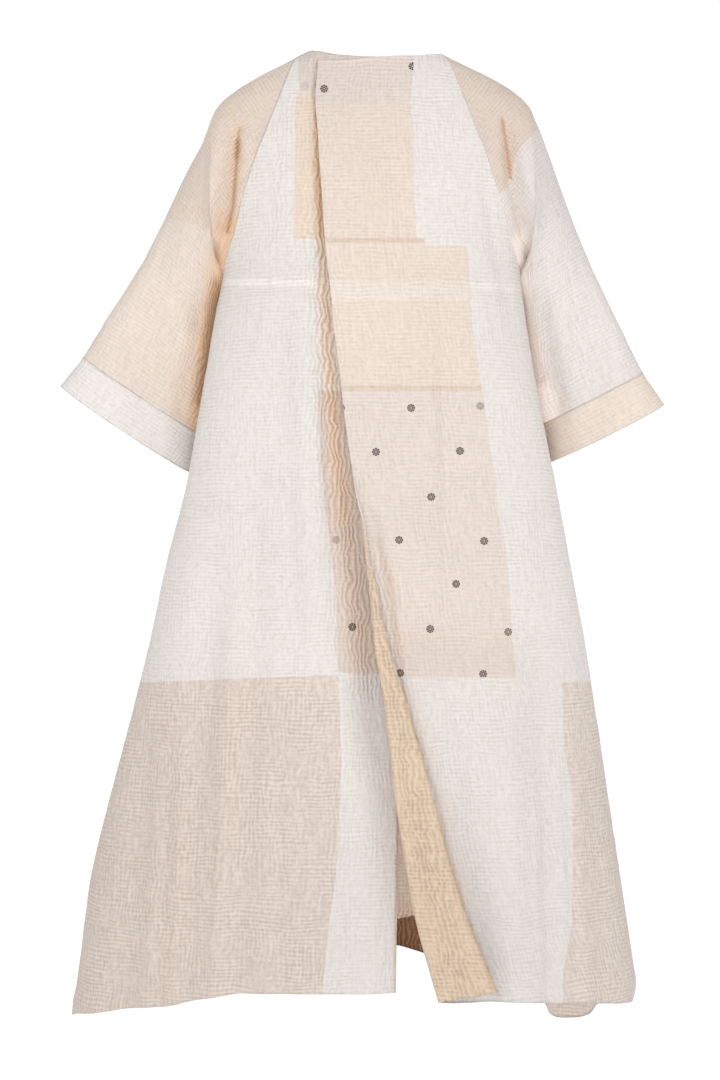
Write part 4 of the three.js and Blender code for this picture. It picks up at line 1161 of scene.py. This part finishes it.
def make_pieces():
    """All pieces by the names of the CAD parts that they replace."""
    # the reverse has a weaker even painted glow
    reverse = cotton("reverse", REVERSE, relief=2.0, contrast=1.8, glow=GLOW * 0.3)
    under_grid = front_under_panel()
    pieces = {
        "back": make_back(),
        "front_under": make_front(
            "under", under_grid, under_grid.shape[1] - 1, PATCHES_UNDER,
            (SHADE_UNDER, CREASE_SHADE_UNDER, WAVY_UNDER), MOTIFS_UNDER, ("patch_0", "patch_2"), "patch_3", reverse),
        "front_lapping": make_front(
            "lapping", front_lapping_panel(), LAPPING_COLUMNS, PATCHES_LAPPING,
            (SHADE_LAPPING, CREASE_SHADE_LAPPING, WAVY_LAPPING), MOTIFS_LAPPING, ("patch_0", "patch_6"), "patch_8",
            reverse),
    }
    pieces.update(make_sleeve(
        "right", -1, SLEEVE_LEFT, PATCHES_SLEEVE_RIGHT,
        (SHADE_SLEEVE_RIGHT, CREASE_SHADE_SLEEVE_RIGHT, WAVY_SLEEVE_RIGHT, GLOW_SLEEVE_RIGHT),
        cotton("beige_sleeve", SLEEVE_RIGHT_COLOUR, patch_layers(PATCHES_SLEEVE_RIGHT), contrast=1.2),
        cotton("white_cuff", CUFF_RIGHT_COLOUR), reverse))
    pieces.update(make_sleeve(
        "left", 1, SLEEVE_RIGHT, PATCHES_SLEEVE_LEFT,
        (SHADE_SLEEVE_LEFT, CREASE_SHADE_SLEEVE_LEFT, WAVY_SLEEVE_LEFT, GLOW_SLEEVE_LEFT),
        cotton("white_sleeve", SLEEVE_LEFT_COLOUR, patch_layers(PATCHES_SLEEVE_LEFT), contrast=1.2),
        cotton("beige_cuff", CUFF_LEFT_COLOUR), reverse))
    return pieces


def add_camera():
    camera = bpy.data.objects.new("camera", bpy.data.cameras.new("camera"))
    scene.collection.objects.link(camera)
    camera.location = tuple(value / METRE for value in EYE)
    camera.rotation_euler = (math.pi / 2, 0, 0)
    camera.data.sensor_fit = "VERTICAL"
    camera.data.lens_unit = "FOV"
    camera.data.angle = 2 * math.atan(FRAME_HEIGHT * FRAME_SCALE / 2 / -EYE[1])
    scene.camera = camera


def add_floor():
    corners = [(x * FLOOR_HALF, y * FLOOR_HALF, FLOOR_LEVEL) for x, y in ((-1, -1), (1, -1), (1, 1), (-1, 1))]
    mesh = bpy.data.meshes.new("floor")
    mesh.from_pydata(corners, [], [(0, 1, 2, 3)])
    floor = bpy.data.objects.new("floor", mesh)
    scene.collection.objects.link(floor)
    pale = bpy.data.materials.new("pale_floor")
    pale.use_nodes = True
    shader = pale.node_tree.nodes["Principled BSDF"]
    shader.inputs["Base Color"].default_value = (0.86, 0.86, 0.86, 1)
    shader.inputs["Roughness"].default_value = 0.9
    shader.inputs["Emission Color"].default_value = (1, 1, 1, 1)
    shader.inputs["Emission Strength"].default_value = 0.36
    mesh.materials.append(pale)


def add_studio_light():
    """Soft white light from all round, stronger from behind and from high in front."""
    world = bpy.data.worlds.new("studio")
    scene.world = world
    world.use_nodes = True
    sky = Shading(world.node_tree)
    background = world.node_tree.nodes["Background"]
    _, depth, up = sky.split(sky.node("ShaderNodeTexCoord").outputs["Generated"])
    behind = sky.ramp(depth, 0.35, 0.88, 0.0, 0.52)
    high_in_front = sky.math("ADD", sky.math("MULTIPLY", depth, -0.75), sky.math("MULTIPLY", up, 0.55))
    ahead = sky.ramp(high_in_front, 0.2, 0.95, 0.0, 0.42)
    sky.put(background.inputs["Strength"], sky.math("ADD", sky.math("ADD", behind, ahead), 0.56))
    background.inputs["Color"].default_value = (1, 1, 1, 1)


def add_lamp(name, place, aim, power, width):
    light = bpy.data.lights.new(name, "AREA")
    light.energy = power
    light.size = width
    lamp = bpy.data.objects.new(name, light)
    scene.collection.objects.link(lamp)
    lamp.location = place
    toward = np.array(aim, float) - np.array(place, float)
    level = math.hypot(toward[0], toward[1])
    turn = math.atan2(toward[1], toward[0]) - math.pi / 2
    lamp.rotation_euler = (math.atan2(level, -toward[2]), 0, turn)


scene = bpy.context.scene
add_camera()
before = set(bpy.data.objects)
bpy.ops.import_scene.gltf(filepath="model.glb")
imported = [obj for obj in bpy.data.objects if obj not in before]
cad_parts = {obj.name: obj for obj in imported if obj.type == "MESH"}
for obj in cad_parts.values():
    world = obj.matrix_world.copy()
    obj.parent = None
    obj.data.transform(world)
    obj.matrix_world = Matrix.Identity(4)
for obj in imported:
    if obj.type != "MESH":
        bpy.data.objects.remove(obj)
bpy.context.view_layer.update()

made = make_pieces()
for node, piece in made.items():
    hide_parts(node)
    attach(piece, "root")

add_floor()
add_studio_light()
for lamp_row in LAMPS:
    add_lamp(*lamp_row)
scene.view_settings.view_transform = "Standard"
scene.view_settings.look = "None"
